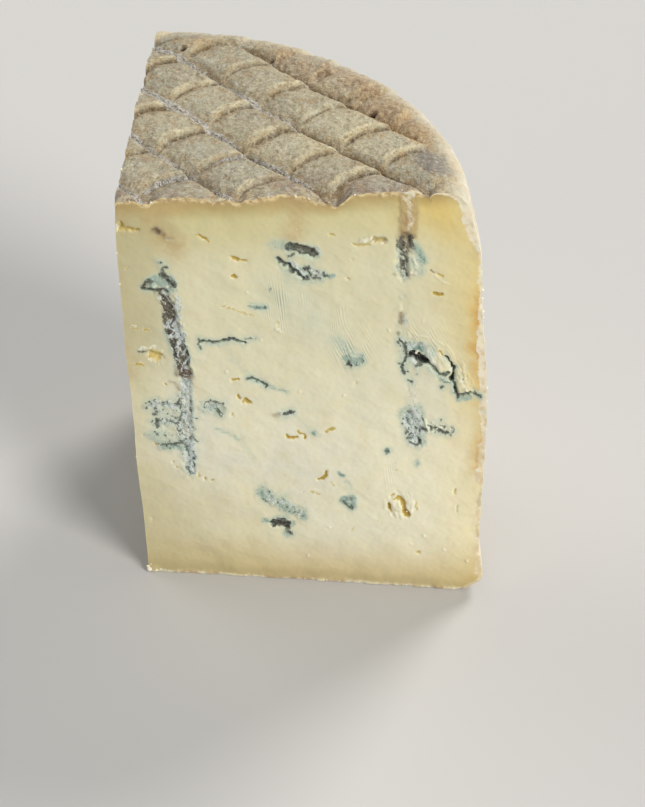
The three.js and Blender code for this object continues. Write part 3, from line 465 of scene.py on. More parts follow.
def run_distance(x, y, pts):
    d = np.hypot(x - pts[0, 0], y - pts[0, 1])
    for (x0, y0), (x1, y1) in zip(pts[:-1], pts[1:]):
        dx, dy = x1 - x0, y1 - y0
        t = np.clip(((x - x0) * dx + (y - y0) * dy) / max(dx * dx + dy * dy, 1e-9), 0, 1)
        d = np.minimum(d, np.hypot(x - x0 - t * dx, y - y0 - t * dy))
    return d


def rasterise(F, a, b, seed=50):
    """Values of every feature field at points (a, b) of a cut face."""
    wa = a + 1.0 * noise(a, b, 0, 7.0, seed) + 0.85 * noise(a, b, 0, 2.8, seed + 1)
    wb = b + 1.0 * noise(a, b, 0, 7.0, seed + 2) + 0.85 * noise(a, b, 0, 2.8, seed + 3)
    order = np.argsort(a)
    sa = a[order]
    out = {"halo": np.zeros(len(a)), "plate": np.zeros(len(a))}
    for kind, strokes in F.items():
        if kind == "plates":
            continue
        f = np.zeros(len(a))
        for pts, r, amp, soft in strokes:
            m = r + soft + (9 if kind == "dark" else 3)
            lo, hi = np.searchsorted(sa, pts[:, 0].min() - m), np.searchsorted(sa, pts[:, 0].max() + m)
            idx = order[lo:hi]
            bb = b[idx]
            idx = idx[(bb > pts[:, 1].min() - m) & (bb < pts[:, 1].max() + m)]
            if not len(idx):
                continue
            d = run_distance(wa[idx], wb[idx], pts)
            f[idx] = np.maximum(f[idx], amp * (1 - smooth(r - soft, r + soft, d)))
            if kind == "dark":
                out["halo"][idx] = np.maximum(out["halo"][idx], min(amp, 1.0) * (1.0 if r < 2.6 else 0.4) * (1 - smooth(r - 1, r + 6.0, d)))
        out[kind] = f
    for pts, amp, soft, tilt in F.get("plates", []):
        lo, hi = pts.min(0) - 3, pts.max(0) + 3
        idx = np.where((a > lo[0]) & (a < hi[0]) & (b > lo[1]) & (b < hi[1]))[0]
        if not len(idx):
            continue
        x, y = wa[idx], wb[idx]
        ring = np.concatenate([pts, pts[:1]])
        d = run_distance(x, y, ring)
        inside = np.zeros(len(idx), bool)
        for (x0, y0), (x1, y1) in zip(ring[:-1], ring[1:]):
            inside ^= ((y0 > y) != (y1 > y)) & (x < (x1 - x0) * (y - y0) / (y1 - y0 + 1e-12) + x0)
        t = (np.stack([x, y], -1) - pts.mean(0)) @ tilt / np.abs((pts - pts.mean(0)) @ tilt).max()
        out["plate"][idx] = np.maximum(out["plate"][idx], np.where(inside, amp * smooth(0, soft, d) * (0.6 + 0.4 * np.clip(t, -1, 1)), 0))
    return out


FRONT = front_features()
LEFT = left_features()


def front_ab(x, z):
    p = to_px(np.stack([x, np.zeros_like(x), z], -1))
    return p[:, 0], p[:, 1]


def left_ab(r, z):
    return r * 3.5, z * 3.5


# ---------------------------------------------------------------------------
# Triangulated charts of the surface. The step is fine near veins and edges.
# ---------------------------------------------------------------------------
FINE = 0.335


def lattice(x0, x1, y0, y1, inside, need, seed, fine=FINE):
    h = fine * math.sqrt(3) / 2
    pts, lev = [], []
    for j in range(int(math.floor(y0 / h)), int(math.ceil(y1 / h)) + 1):
        i = np.arange(int(math.floor(x0 / fine - 0.5 * j)), int(math.ceil(x1 / fine - 0.5 * j)) + 1)
        pts.append(np.stack([(i + 0.5 * j) * fine, np.full(len(i), j * h)], -1))
        lev.append(np.where((i % 4 == 0) & (j % 4 == 0), 4, np.where((i % 2 == 0) & (j % 2 == 0), 2, 1)))
    pts, lev = np.concatenate(pts), np.concatenate(lev)
    edge = inside(pts[:, 0], pts[:, 1])
    keep = edge > 0.45 * fine
    pts, lev, edge = pts[keep], lev[keep], edge[keep]
    want = need(pts[:, 0], pts[:, 1], edge)
    keep = (lev == 4) | ((lev == 2) & (want <= 2.9 * fine)) | ((lev == 1) & (want <= 1.45 * fine))
    pts, lev, want, edge = pts[keep], lev[keep], want[keep], edge[keep]
    gap = np.where(want <= 1.45 * fine, fine, np.where(want <= 2.9 * fine, 2 * fine, 4 * fine))
    rng = np.random.default_rng(seed)
    pts = pts + (rng.random(pts.shape) - 0.5) * 0.22 * gap[:, None]
    keep = edge > 0.5 * np.minimum(gap, 2 * fine)
    return pts[keep]


def triangulate(loop_xy, inner_xy):
    """Triangles inside a closed loop: indices into loop + inner, anticlockwise."""
    n = len(loop_xy)
    xy = np.concatenate([loop_xy, inner_xy]) if len(inner_xy) else np.asarray(loop_xy)
    verts = [Vector(p) for p in xy.tolist()]
    edges = [(i, (i + 1) % n) for i in range(n)]
    out, _, faces, orig, _, _ = delaunay_2d_cdt(verts, edges, [], 1, 1e-7)
    back = np.array([o[0] if len(o) else -1 for o in orig])
    tri = np.array([f for f in faces if len(f) == 3], np.int64)
    tri = back[tri]
    tri = tri[(tri >= 0).all(1)]
    a, b, c = xy[tri[:, 0]], xy[tri[:, 1]], xy[tri[:, 2]]
    area = (b[:, 0] - a[:, 0]) * (c[:, 1] - a[:, 1]) - (b[:, 1] - a[:, 1]) * (c[:, 0] - a[:, 0])
    tri[area < 0] = tri[area < 0][:, ::-1]
    return tri[np.abs(area) > 1e-9]


class Store:
    """Vertices with their place on the ideal surface, faces with chart and uv."""

    def __init__(self):
        self.P, self.n = [], 0
        self.T, self.C, self.UV = [], [], []

    def add(self, P):
        P = np.asarray(P, float).reshape(-1, 3)
        ids = np.arange(self.n, self.n + len(P))
        self.P.append(P)
        self.n += len(P)
        return ids

    def chart(self, name, loop_ids, loop_xy, inner_ids, inner_xy, flip, uv_of):
        tri = triangulate(loop_xy, inner_xy)
        xy = np.concatenate([loop_xy, inner_xy]) if len(inner_xy) else np.asarray(loop_xy)
        ids = np.concatenate([loop_ids, inner_ids])
        if flip:
            tri = tri[:, ::-1]
        self.T.append(ids[tri])
        self.C += [name] * len(tri)
        self.UV.append(uv_of(xy)[tri])


def steps(a, b, step):
    n = max(2, int(round(abs(b - a) / step)))
    return np.linspace(a, b, n + 1)


M = Store()
xF, xL = float(reach(0.0, R_TOP)), float(reach(CUT, R_TOP))
bF, bL = float(reach(0.0, R_BASE)), float(reach(CUT, R_BASE))
cosw, sinw = math.cos(CUT), math.sin(CUT)

# corners
corner = lambda x, y, z: int(M.add([[x, y, z]])[0])
TT, TB = corner(0, 0, float(top_z(0, 0))), corner(0, 0, 0)
FR, FB = int(M.add(rind_at(np.array([0.0]), np.array([0.0])))[0]), int(M.add(rind_at(np.array([0.0]), np.array([S_END])))[0])
LR, LB = int(M.add(rind_at(np.array([CUT]), np.array([0.0])))[0]), int(M.add(rind_at(np.array([CUT]), np.array([S_END])))[0])


def edge(points_fn, ts):
    """Inner points of an edge, without its two ends."""
    t = ts[1:-1]
    return t, M.add(points_fn(t))


t_ft, e_ft = edge(lambda t: np.stack([t, 0 * t, top_z(t, 0 * t)], -1), steps(0, xF, 0.42))            # tip -> front rim
t_lt, e_lt = edge(lambda t: np.stack([t * cosw, t * sinw, top_z(t * cosw, t * sinw)], -1), steps(0, xL, 0.5))
t_arc, e_arc = edge(lambda t: rind_at(t, 0 * t), steps(0, CUT, 0.8 / R_TOP))
t_pf, e_pf = edge(lambda t: rind_at(0 * t, t), steps(0, S_END, 0.45))
t_pl, e_pl = edge(lambda t: rind_at(0 * t + CUT, t), steps(0, S_END, 0.7))
t_tip, e_tip = edge(lambda t: np.stack([0 * t, 0 * t, t], -1), steps(float(top_z(0, 0)), 0, 0.45))    # top -> base
t_bf, e_bf = edge(lambda t: np.stack([t, 0 * t, 0 * t], -1), steps(0, bF, 0.45))
t_bl, e_bl = edge(lambda t: np.stack([t * cosw, t * sinw, 0 * t], -1), steps(0, bL, 0.8))
t_ba, e_ba = edge(lambda t: rind_at(t, 0 * t + S_END), steps(0, CUT, 1.3 / R_BASE))

A = 1.0 / 330.0                              # atlas: millimetres to uv


def uv_box(u0, v0, k=1.0):
    return lambda xy: np.stack([u0 * A + xy[:, 0] * A * k, v0 * A + xy[:, 1] * A * k], -1)


# ---- front cut face: (distance from the tip, height)
def face_inside(prof_r, top_fn):
    def fn(x, z):
        d = np.minimum(x, z)
        d = np.minimum(d, (top_fn(x) - z))
        r = prof_r(z)
        return np.minimum(d, (r - x))
    return fn


zF = PRZ[:, 1]
prof_front = reach(0.0, PRZ[:, 0])
prof_left = reach(CUT, PRZ[:, 0])
rF = lambda z: np.interp(z, zF[::-1], prof_front[::-1])
rL = lambda z: np.interp(z, zF[::-1], prof_left[::-1])


def vein_need(F, ab, x, z, e, near, mid, far):
    """Wanted spacing: fine on veins and pores, wider away from them."""
    a, b = ab(x, z)
    want = np.full(len(a), far)
    order = np.argsort(a)
    sa = a[order]
    for kind in ("dark", "amber", "rough", "deep", "raise", "white_and_highlight", "pale"):
        for pts, r, amp, soft in F[kind] + ([(p_, 1.5, 1, 1) for p_, _, _, _ in F.get("plates", [])] if kind == "raise" else []):
            m = r + soft + 10
            lo, hi = np.searchsorted(sa, pts[:, 0].min() - m), np.searchsorted(sa, pts[:, 0].max() + m)
            idx = order[lo:hi]
            idx = idx[(b[idx] > pts[:, 1].min() - m) & (b[idx] < pts[:, 1].max() + m)]
            if not len(idx):
                continue
            d = run_distance(a[idx], b[idx], pts)
            w = np.where(d < r + 2.0, near, np.where(d < r + 8, mid, far))
            want[idx] = np.minimum(want[idx], w)
    return want


def build_faces():
    # front
    loop_ids = np.concatenate([[TB], e_bf, [FB], e_pf[::-1], [FR], e_ft[::-1], [TT], e_tip])
    bottom = np.stack([np.concatenate([[0], t_bf, [bF]]), np.zeros(len(t_bf) + 2)], -1)
    s = t_pf[::-1]
    prof = np.stack([reach(0.0, np.interp(s, PS, PRZ[:, 0])), np.interp(s, PS, PRZ[:, 1])], -1)
    xs = np.concatenate([[xF], t_ft[::-1], [0]])
    top = np.stack([xs, top_z(xs, 0 * xs)], -1)
    top[0] = [xF, H_RIM]
    tip = np.stack([0 * t_tip, t_tip], -1)
    loop = np.concatenate([bottom, prof, top, tip])
    inside = face_inside(rF, lambda x: top_z(x, 0 * x) if True else 0)

    def need_front(x, z, e):
        w = vein_need(FRONT, front_ab, x, z, e, FINE, 2 * FINE, 4 * FINE)
        return np.where(e < 0.9, FINE, np.where(e < 3.0, np.minimum(w, 2 * FINE), w))
    inner = lattice(0, 104, 0, 145, inside, need_front, 1)
    ids = M.add(np.stack([inner[:, 0], 0 * inner[:, 0], inner[:, 1]], -1))
    M.chart("front", loop_ids, loop, ids, inner, False, uv_box(4, 4))
    n_front = len(M.T[-1])
    # left
    loop_ids = np.concatenate([[TB], e_bl, [LB], e_pl[::-1], [LR], e_lt[::-1], [TT], e_tip])
    bottom = np.stack([np.concatenate([[0], t_bl, [bL]]), np.zeros(len(t_bl) + 2)], -1)
    s = t_pl[::-1]
    prof = np.stack([reach(CUT, np.interp(s, PS, PRZ[:, 0])), np.interp(s, PS, PRZ[:, 1])], -1)
    xs = np.concatenate([[xL], t_lt[::-1], [0]])
    top = np.stack([xs, top_z(xs * cosw, xs * sinw)], -1)
    top[0] = [xL, H_RIM]
    loop = np.concatenate([bottom, prof, top, tip])

    def need_left(x, z, e):
        w = vein_need(LEFT, left_ab, x, z, e, LSTEP, 2 * LSTEP, 4 * LSTEP)
        return np.where(e < 1.6, 2 * LSTEP, w)
    inner = lattice(0, 104, 0, 145, face_inside(rL, lambda x: top_z(x * cosw, x * sinw)), need_left, 2, fine=LSTEP)
    ids = M.add(np.stack([inner[:, 0] * cosw, inner[:, 0] * sinw, inner[:, 1]], -1))
    M.chart("left", loop_ids, loop, ids, inner, True, uv_box(112, 4))
    n_left = len(M.T[-1])
    # top
    loop_ids = np.concatenate([[TT], e_ft, [FR], e_arc, [LR], e_lt[::-1]])
    loop = np.concatenate([np.stack([np.concatenate([[0], t_ft]), 0 * np.concatenate([[0], t_ft])], -1),
                           rind_at(np.concatenate([[0], t_arc, [CUT]]), np.zeros(len(t_arc) + 2))[:, :2],
                           np.stack([t_lt[::-1] * cosw, t_lt[::-1] * sinw], -1)])

    def top_inside(x, y):
        return np.minimum(np.minimum(y, x * sinw - y * cosw), R_TOP - np.hypot(x - CX, y - CY))
    inner = lattice(-5, 90, 0, 90, top_inside, lambda x, y, e: np.full(len(x), 1.0 * TOPSTEP), 3, fine=TOPSTEP)
    ids = M.add(np.stack([inner[:, 0], inner[:, 1], top_z(inner[:, 0], inner[:, 1])], -1))
    M.chart("top", loop_ids, loop, ids, inner, False, uv_box(220, 4))
    n_top = len(M.T[-1])
    # side: (angle as arc, length down the outline)
    K = 97.0
    loop_ids = np.concatenate([[FB], e_ba, [LB], e_pl[::-1], [LR], e_arc[::-1], [FR], e_pf])
    ang = np.concatenate([[0], t_ba, [CUT]])
    loop = np.concatenate([np.stack([ang * K, 0 * ang - S_END], -1),
                           np.stack([0 * t_pl[::-1] + CUT * K, -t_pl[::-1]], -1),
                           np.stack([np.concatenate([[CUT], t_arc[::-1], [0]]) * K, np.zeros(len(t_arc) + 2)], -1),
                           np.stack([0 * t_pf, -t_pf], -1)])
    inside = lambda a, s: np.minimum(np.minimum(a, CUT * K - a), np.minimum(-s, S_END + s))
    inner = lattice(0, CUT * K, -S_END, 0, inside,
                    lambda a, s, e: np.where((-s < 16) | (a < 4) | (a > CUT * K - 4), SIDESTEP, 2 * SIDESTEP), 4, fine=SIDESTEP)
    ids = M.add(rind_at(inner[:, 0] / K, -inner[:, 1]))
    M.chart("side", loop_ids, loop, ids, inner, False, lambda xy: np.stack([4 * A + xy[:, 0] * A, 155 * A + (S_END + xy[:, 1]) * A], -1))
    n_side = len(M.T[-1])
    # base
    loop_ids = np.concatenate([[TB], e_bl, [LB], e_ba[::-1], [FB], e_bf[::-1]])
    loop = np.concatenate([np.stack([np.concatenate([[0], t_bl]) * cosw, np.concatenate([[0], t_bl]) * sinw], -1),
                           rind_at(np.concatenate([[CUT], t_ba[::-1], [0]]), np.full(len(t_ba) + 2, S_END))[:, :2],
                           np.stack([t_bf[::-1], 0 * t_bf], -1)])

    def base_inside(x, y):
        return np.minimum(np.minimum(y, x * sinw - y * cosw), R_BASE - np.hypot(x - CX, y - CY))
    inner = lattice(-5, 98, 0, 98, base_inside, lambda x, y, e: np.where(e < 2.5, 1.6, 6.4), 5, fine=1.6)
    ids = M.add(np.stack([inner[:, 0], inner[:, 1], 0 * inner[:, 0]], -1))
    M.chart("base", loop_ids, loop, ids, inner, True, uv_box(170, 165, 1.0))
    print("triangles", n_front, n_left, n_top, n_side, len(M.T[-1]), "all", sum(len(t) for t in M.T), "points", M.n)


TOPSTEP, SIDESTEP, LSTEP = 0.52, 0.95, 0.485
build_faces()
P0 = np.concatenate(M.P)
TRI = np.concatenate(M.T)
CHART = np.array(M.C)
UV = np.concatenate(M.UV)
on = {c: np.zeros(len(P0), bool) for c in ("front", "left", "top", "side", "base")}
for c in on:
    on[c][np.unique(TRI[CHART == c])] = True

# ---------------------------------------------------------------------------
# Depth below the rind and the rind's relief, for every vertex
# ---------------------------------------------------------------------------
x, y, z = P0.T
rho = np.hypot(x - CX, y - CY)
inner_r = np.linspace(0, R_TOP, 160)[:-1]
OUT = np.concatenate([np.stack([inner_r, H_TIP + DISH * (inner_r / R_TOP) ** 1.5], -1), PRZ])      # whole outline
OUT_S = np.concatenate([inner_r - R_TOP, PS])
slope = 1.5 * DISH / R_TOP * (inner_r / R_TOP) ** 0.5
OUT_N = np.concatenate([np.stack([-slope, np.ones_like(slope)], -1) / np.sqrt(1 + slope ** 2)[:, None], PN])
near = np.zeros(len(P0), np.int64)
depth = np.zeros(len(P0))
for k in range(0, len(P0), 8000):
    d2 = (rho[k:k + 8000, None] - OUT[None, :, 0]) ** 2 + (z[k:k + 8000, None] - OUT[None, :, 1]) ** 2
    near[k:k + 8000] = d2.argmin(1)
    depth[k:k + 8000] = np.sqrt(d2.min(1))
on_rind = on["top"] | on["side"]
s_at = OUT_S[near]
s_at = np.where(on["top"], rho - R_TOP, s_at)
depth = np.where(on_rind, 0.0, depth)
# the outline's facing at each point, and its outward direction round the wheel
nr, nz = OUT_N[near, 0], OUT_N[near, 1]
nlen = np.hypot(nr, nz)
nr, nz = nr / nlen, nz / nlen
ux, uy = (x - CX) / np.maximum(rho, 1e-6), (y - CY) / np.maximum(rho, 1e-6)

imp = imprint(x, y)
# cross grooves of the outermost row, which runs out over the shoulder
outer = {k: np.zeros(len(P0)) for k in ("h", "dark", "line", "pale")}
for ax_, ay_, bx_, by_, deep_ in ((47.4, 57.8, 54.4, 70.2, 1.0), (57.6, 46.2, 66.6, 53.9, 1.15), (72.0, 32.0, 78.4, 41.2, .75)):
    len_ = math.hypot(bx_ - ax_, by_ - ay_)
    tx_, ty_ = (bx_ - ax_) / len_, (by_ - ay_) / len_
    run_ = (x - ax_) * tx_ + (y - ay_) * ty_
    off_ = -(x - ax_) * ty_ + (y - ay_) * tx_ + 0.55 * noise(x, y, 0, 2.8, 50) + 0.9 * np.sin(math.pi * np.clip(run_ / len_, 0, 1))
    keep_ = smooth(-1.0, 1.2, run_) * (1 - smooth(len_ - 2.5, len_ + 2.5, run_)) * deep_
    after_, before_ = np.maximum(-off_, 0), np.maximum(off_, 0)
    cut_ = np.where(off_ < 0, 0.62 * np.exp(-after_ / 1.3) + 0.38 * np.exp(-after_ / 4.0), np.exp(-(before_ / 0.55) ** 2))
    outer["h"] += keep_ * (0.42 * np.exp(-((off_ - 1.9) / 1.2) ** 2) - 1.15 * cut_)
    # as in imprint(): stain with painted shade, groove line with painted shade, pale ridge partly painted highlight
    outer["dark"] = np.maximum(outer["dark"], keep_ * np.where(off_ < 0, np.exp(-after_ / 2.2), np.exp(-(before_ / 0.6) ** 2)))
    outer["line"] = np.maximum(outer["line"], keep_ * np.exp(-(off_ / 0.55) ** 2))
    outer["pale"] = np.maximum(outer["pale"], keep_ * np.exp(-((off_ - 2.0) / 1.4) ** 2))
shoulder = smooth(1.5, 13.0, s_at)
amp = np.where(s_at < 0, 1.0, 1.0 - 0.86 * shoulder) * (1 - smooth(60, 110, s_at))
q_along, q_over = 0.67 * x + 0.74 * y, -0.74 * x + 0.67 * y
rind_noise = (0.24 * fbm(x, y, z, 9, 2, 21) + 0.27 * fbm(x, y, z, 2.7, 2, 22) + 0.15 * noise(x, y, z, 1.3, 23)
              + 0.13 * fbm(q_along / 3.0, q_over, 0, 1.9, 2, 24))
side_noise = 0.55 * fbm(x, y, z * 0.8, 26, 2, 25) + 0.16 * fbm(x, y, z, 6, 2, 26) + 0.07 * noise(x, y, z, 1.9, 27)
side_w = smooth(4.0, 16.0, s_at)
fuzzy = np.clip(1.12 - 0.0125 * x - 0.003 * y + 0.55 * noise(x, y, 0, 13, 45), 0, 1)
seam_end = np.array([12.0, 27.0, 52.0, 44.0, 2.0, 2.0, 2.0])[np.clip(np.round(imp["row"]), 0, 6).astype(int)]
fuzzy = fuzzy * (1 - smooth(-8, 10, x - seam_end + 6 * noise(x, y, 0, 7, 40)))
wide = np.exp(-(np.minimum(imp["down"], SEAM_PITCH - imp["down"]) / 1.25) ** 2)
fuzz = imp["seam"] * (0.3 * fbm(x, y, z, 1.7, 2, 28)) + wide * fuzzy * (0.70 + 0.5 * fbm(q_along / 2.2, q_over, 0, 1.3, 2, 47))
lift = (imp["h"] + fuzz) * amp + outer["h"] + rind_noise * (1 - side_w) + side_noise * side_w
# the rim of the top sags towards the back, most at the far left corner
theta = np.arctan2(y, x)
back_ = smooth(math.radians(15), math.radians(70), theta)
lift = lift - smooth(-16, -2, s_at) * (1 - smooth(3, 9, s_at)) * (0.35 + 0.75 * back_)
corner_d = np.hypot((CUT - theta) * rho, np.maximum(0, -s_at - 1.0))
lift = lift - 1.5 * np.exp(-(corner_d / 7.5) ** 2) * (1 - smooth(3, 12, s_at)) * (theta > 0.8)
# the side bulges a little by the front cut, below the shoulder
lift = lift + 1.15 * np.exp(-((z - 124) / 13.0) ** 2) * np.exp(-(theta / 0.30) ** 2) * smooth(3, 12, s_at)
lift = lift + 1.7 * np.exp(-((z - 7.0) / 6.5) ** 2) * np.exp(-(theta / 0.30) ** 2)
# small pits in the rind, as at the needle holes
PITS = [((8.0, 73.5), 1.2, 1.3), ((34.8, 68.6), 1.0, 1.0), ((66.2, 39.6), 1.6, 2.0), ((47, 14), .9, .6), ((27, 47.5), .8, .5), ((60, 27), .8, .5), ((14, 60), .8, .5)]
pit = np.zeros(len(P0))
for (px_, py_), r_, d_ in PITS:
    q = np.hypot(x - px_, y - py_) + 0.35 * noise(x, y, 0, 1.4, 29)
    pit = np.maximum(pit, d_ * (1 - smooth(0.2 * r_, r_ * 1.15, q)))
lift = lift - pit * (s_at < 6)
# height of the crest of the front cut
CREST = np.array([(0, -1.6), (1.4, -1.0), (2.4, -.6), (5.8, -.3), (8, -1.1), (10, -1.6), (11.4, -.5), (12.7, .4), (17.8, .5), (21.5, .3), (24.7, .1), (27.3, -1.0), (29, -.8), (31.5, -.5), (34.2, -1.6),
                  (36, -.7), (37.6, -.4), (41.7, .2), (47, .5), (50.8, -.4), (53, -1.2), (55.1, -2.2), (57.4, -2.8), (60.1, -4.2), (62.5, -2.2), (64.5, -.9), (66.8, -.6), (71, -.7), (75.2, -.7), (77.5, -.8),
                  (80, -.7), (82, -2.0), (84.5, -3.2), (86.5, -1.7), (89, -1.0), (93, -1.0)])
crest = np.interp(x, CREST[:, 0], CREST[:, 1]) + 0.25 * noise(x, 0, 0, 1.6, 30)
cw = np.exp(-(np.maximum(y, 0) / 3.4) ** 2) * (1 - smooth(2, 9, s_at))
lift = lift * (1 - cw) + crest * cw
base_fade = smooth(0.0, 5.0, z)
fall = np.exp(-(depth / 4.5) ** 1.3) * base_fade
disp = np.zeros_like(P0)
push = lift * fall
disp[:, 0] += ux * nr * push
disp[:, 1] += uy * nr * push
disp[:, 2] += nz * push
# the thin bottom rim is crumbly
rim = np.exp(-(z / 1.6) ** 2)


# ---------------------------------------------------------------------------
# Relief of the cut faces, pushed along the face's own normal
# ---------------------------------------------------------------------------
def face_relief(F, a, b, r, zz, seed, dep):
    f = rasterise(F, a, b, seed=seed)
    rough, speck = f["rough"], f["speck"]
    h = 0.28 * fbm(r, zz, 0, 21, 2, seed + 5) + 0.16 * fbm(r, zz, 0, 7.5, 2, seed + 6)
    along, over = 0.5 * a + 0.866 * b, -0.866 * a + 0.5 * b
    crumb = 0.75 * fbm(along / 2.0, over, 0, 3.1, 3, seed + 8, 0.62) + 0.45 * fbm(a, b, 0, 6.0, 2, seed + 12)
    f["crumb"] = crumb
    h = h + rough * (0.62 * crumb - 0.05)
    h = h - f["deep"] * (1 + 0.3 * noise(a, b, 0, 3.0, seed + 9)) + f["raise"] * (1 + 0.5 * noise(a, b, 0, 4.0, seed + 10)) + f["plate"]
    # faint drag marks of the knife
    drag = np.sin((a + 0.16 * b + 2.2 * noise(a, b, 0, 22, seed + 11)) * 2 * math.pi / 2.35)
    return f, h, drag


ffield, fh, _ = face_relief(FRONT, *front_ab(x, z), x, z, 60, depth)
pa, pb = front_ab(x, z)


def region(cx_, cy_, rx, ry, turn=0.0):
    c, s = math.cos(turn), math.sin(turn)
    dx, dy = pa - cx_, pb - cy_
    return np.exp(-(((dx * c + dy * s) / rx) ** 2 + ((-dx * s + dy * c) / ry) ** 2))


def deg(a):
    return math.radians(a)


def phase(angle, pitch, seed, wob, a, b):
    c, s = math.cos(angle), math.sin(angle)
    across = -a * s + b * c
    along = a * c + b * s
    return (across + wob * noise(across / 6.0, along / 22.0, 0, 1.0, seed)) / pitch


lip = 0.22 * np.exp(-(depth / 0.7) ** 2) * (0.5 + noise(x, z, 0, 2.2, 31))
fh = fh + np.where(on["front"], lip, 0)
# scalloped, crumbly edge of the side rind
band = np.exp(-(depth / 3.0) ** 2) * smooth(3, 14, s_at)
fh = fh + 0.20 * band * fbm(x, z, 0, 2.8, 2, 33)
r_left = x * cosw + y * sinw
lfield, lh, ldrag = face_relief(LEFT, *left_ab(r_left, z), r_left, z, 90, depth)
lh = lh - 0.9 * np.exp(-(np.maximum(H_TIP + 2 - z, 0) / 12.0) ** 2)
lh = lh + 0.03 * ldrag * (0.5 + 0.5 * noise(r_left, z, 0, 25, 95)) + 0.22 * np.exp(-(depth / 0.7) ** 2) * (0.5 + noise(r_left, z, 0, 2.2, 35)) + 0.30 * band * fbm(r_left, z, 0, 3.4, 2, 36)
d_front = np.maximum(y, 0)
d_left = np.maximum(x * sinw - y * cosw, 0)
# ragged base edge: the rim rind sticks out a little
bead = np.exp(-(z / 1.0) ** 2)
fh = fh + rim * (0.14 + 0.22 * noise(x, y, 0, 2.8, 37)) + bead * (0.10 + 0.42 * noise(x, 0, 0, 1.25, 137))
lh = lh + rim * (0.14 + 0.22 * noise(r_left, y, 0, 2.8, 38)) + bead * (0.10 + 0.42 * noise(r_left, 0, 0, 1.25, 138))
fh = fh + 0.75 * np.exp(-(((x - 1.6) / 1.8) ** 2 + ((z - 1.0) / 1.2) ** 2))
wf = np.where(on["front"], 1.0, np.exp(-(d_front / 1.1) ** 2))
wl = np.where(on["left"], 1.0, np.exp(-(d_left / 1.1) ** 2))
tipw = np.exp(-(np.hypot(x, y) / 0.9) ** 2)
wf = np.where(on["front"], 1.0, wf)
fh = np.clip(fh, -3.2, 1.2)
lh = np.clip(lh, -3.2, 1.2)
disp[:, 1] += -fh * wf
disp[:, 0] += -lh * wl * sinw
disp[:, 1] += lh * wl * cosw
# the base stays flat on the table
P = P0 + disp
P[:, 2] = np.where(on["base"], 0.0, np.maximum(P[:, 2], 0.02))

# ---------------------------------------------------------------------------
# The mesh
# ---------------------------------------------------------------------------
world = (P + TIP) * 0.001
me = bpy.data.meshes.new("cheese")
me.vertices.add(len(world))
me.vertices.foreach_set("co", world.astype(np.float32).ravel())
me.loops.add(3 * len(TRI))
me.loops.foreach_set("vertex_index", TRI.astype(np.int32).ravel())
me.polygons.add(len(TRI))
me.polygons.foreach_set("loop_start", np.arange(0, 3 * len(TRI), 3, dtype=np.int32))
me.polygons.foreach_set("use_smooth", np.ones(len(TRI), bool))
slot = np.where((CHART == "front") | (CHART == "left"), 0, 1).astype(np.int32)
me.polygons.foreach_set("material_index", slot)
me.update(calc_edges=True)
uv = me.uv_layers.new(name="OFBake")
uv.data.foreach_set("uv", UV.reshape(-1, 2).astype(np.float32).ravel())
# crisp edges where a cut meets the rind, or the base, or the other cut
ev = np.zeros(2 * len(me.edges), np.int32)
me.edges.foreach_get("vertices", ev)
ev = ev.reshape(-1, 2)
rindv = on["top"] | on["side"]
sharp = np.zeros(len(ev), bool)
for a_, b_ in ((on["front"], rindv), (on["left"], rindv), (on["front"], on["left"]), (on["front"], on["base"]), (on["left"], on["base"]), (on["side"], on["base"])):
    both = a_ & b_
    sharp |= both[ev[:, 0]] & both[ev[:, 1]]
me.edges.foreach_set("use_edge_sharp", sharp)


def attr(name, values):
    at = me.attributes.new(name, "FLOAT", "POINT")
    at.data.foreach_set("value", np.asarray(values, np.float32))


paste = on["front"] | on["left"]
pick = lambda k: np.where(on["front"], ffield[k], np.where(on["left"], lfield[k], 0.0))
for k in ("dark", "halo", "blue", "pale", "brown", "amber", "white_and_highlight", "speck", "crumb", "tan"):
    attr("c_" + k, pick(k))
# a faint bluish haze in the middle of the front cut
attr("c_haze", np.where(on["front"], np.clip(.9 * region(288, 300, 22, 20) + .9 * region(316, 322, 24, 15, .8) + .8 * region(342, 347, 15, 10, .7), 0, 1), 0))
# drag marks of the knife: two sets of fine lines, each with its own patches
la, lb = left_ab(r_left, z)
ph1 = np.where(on["front"], phase(deg(82), 2.5, 70, 1.5, pa, pb), phase(deg(80), 2.6, 170, 1.5, la, lb))
ph2 = np.where(on["front"], phase(deg(60), 2.9, 72, 1.7, pa, pb), phase(deg(100), 3.0, 172, 1.7, la, lb))
broken = lambda a, b, s_: smooth(-.15, .35, noise(a * 1.0, b / 3.2, 0, 4.5, s_))
m1 = np.clip((0.9 * region(282, 303, 18, 22) + 0.7 * region(338, 318, 11, 12) + .3 * region(388, 480, 16, 22)) * broken(pa, pb, 71), 0, 1)
m2 = np.clip((1.1 * region(353, 348, 15, 19, .6) + 0.85 * region(424, 338, 16, 16, .7) + 0.7 * region(450, 370, 16, 16, .8)) * broken(pa, pb, 73), 0, 1)
k1, k2 = (np.clip(1.5 * fbm(la, lb, 0, 60, 2, s_) - 0.35, 0, 1) * broken(la, lb, s_ + 4) for s_ in (174, 175))
attr("k_p1", np.where(paste, ph1, 0)); attr("k_p2", np.where(paste, ph2, 0))
attr("k_m1", np.where(on["front"], m1, np.where(on["left"], k1, 0))); attr("k_m2", np.where(on["front"], m2, np.where(on["left"], k2, 0)))
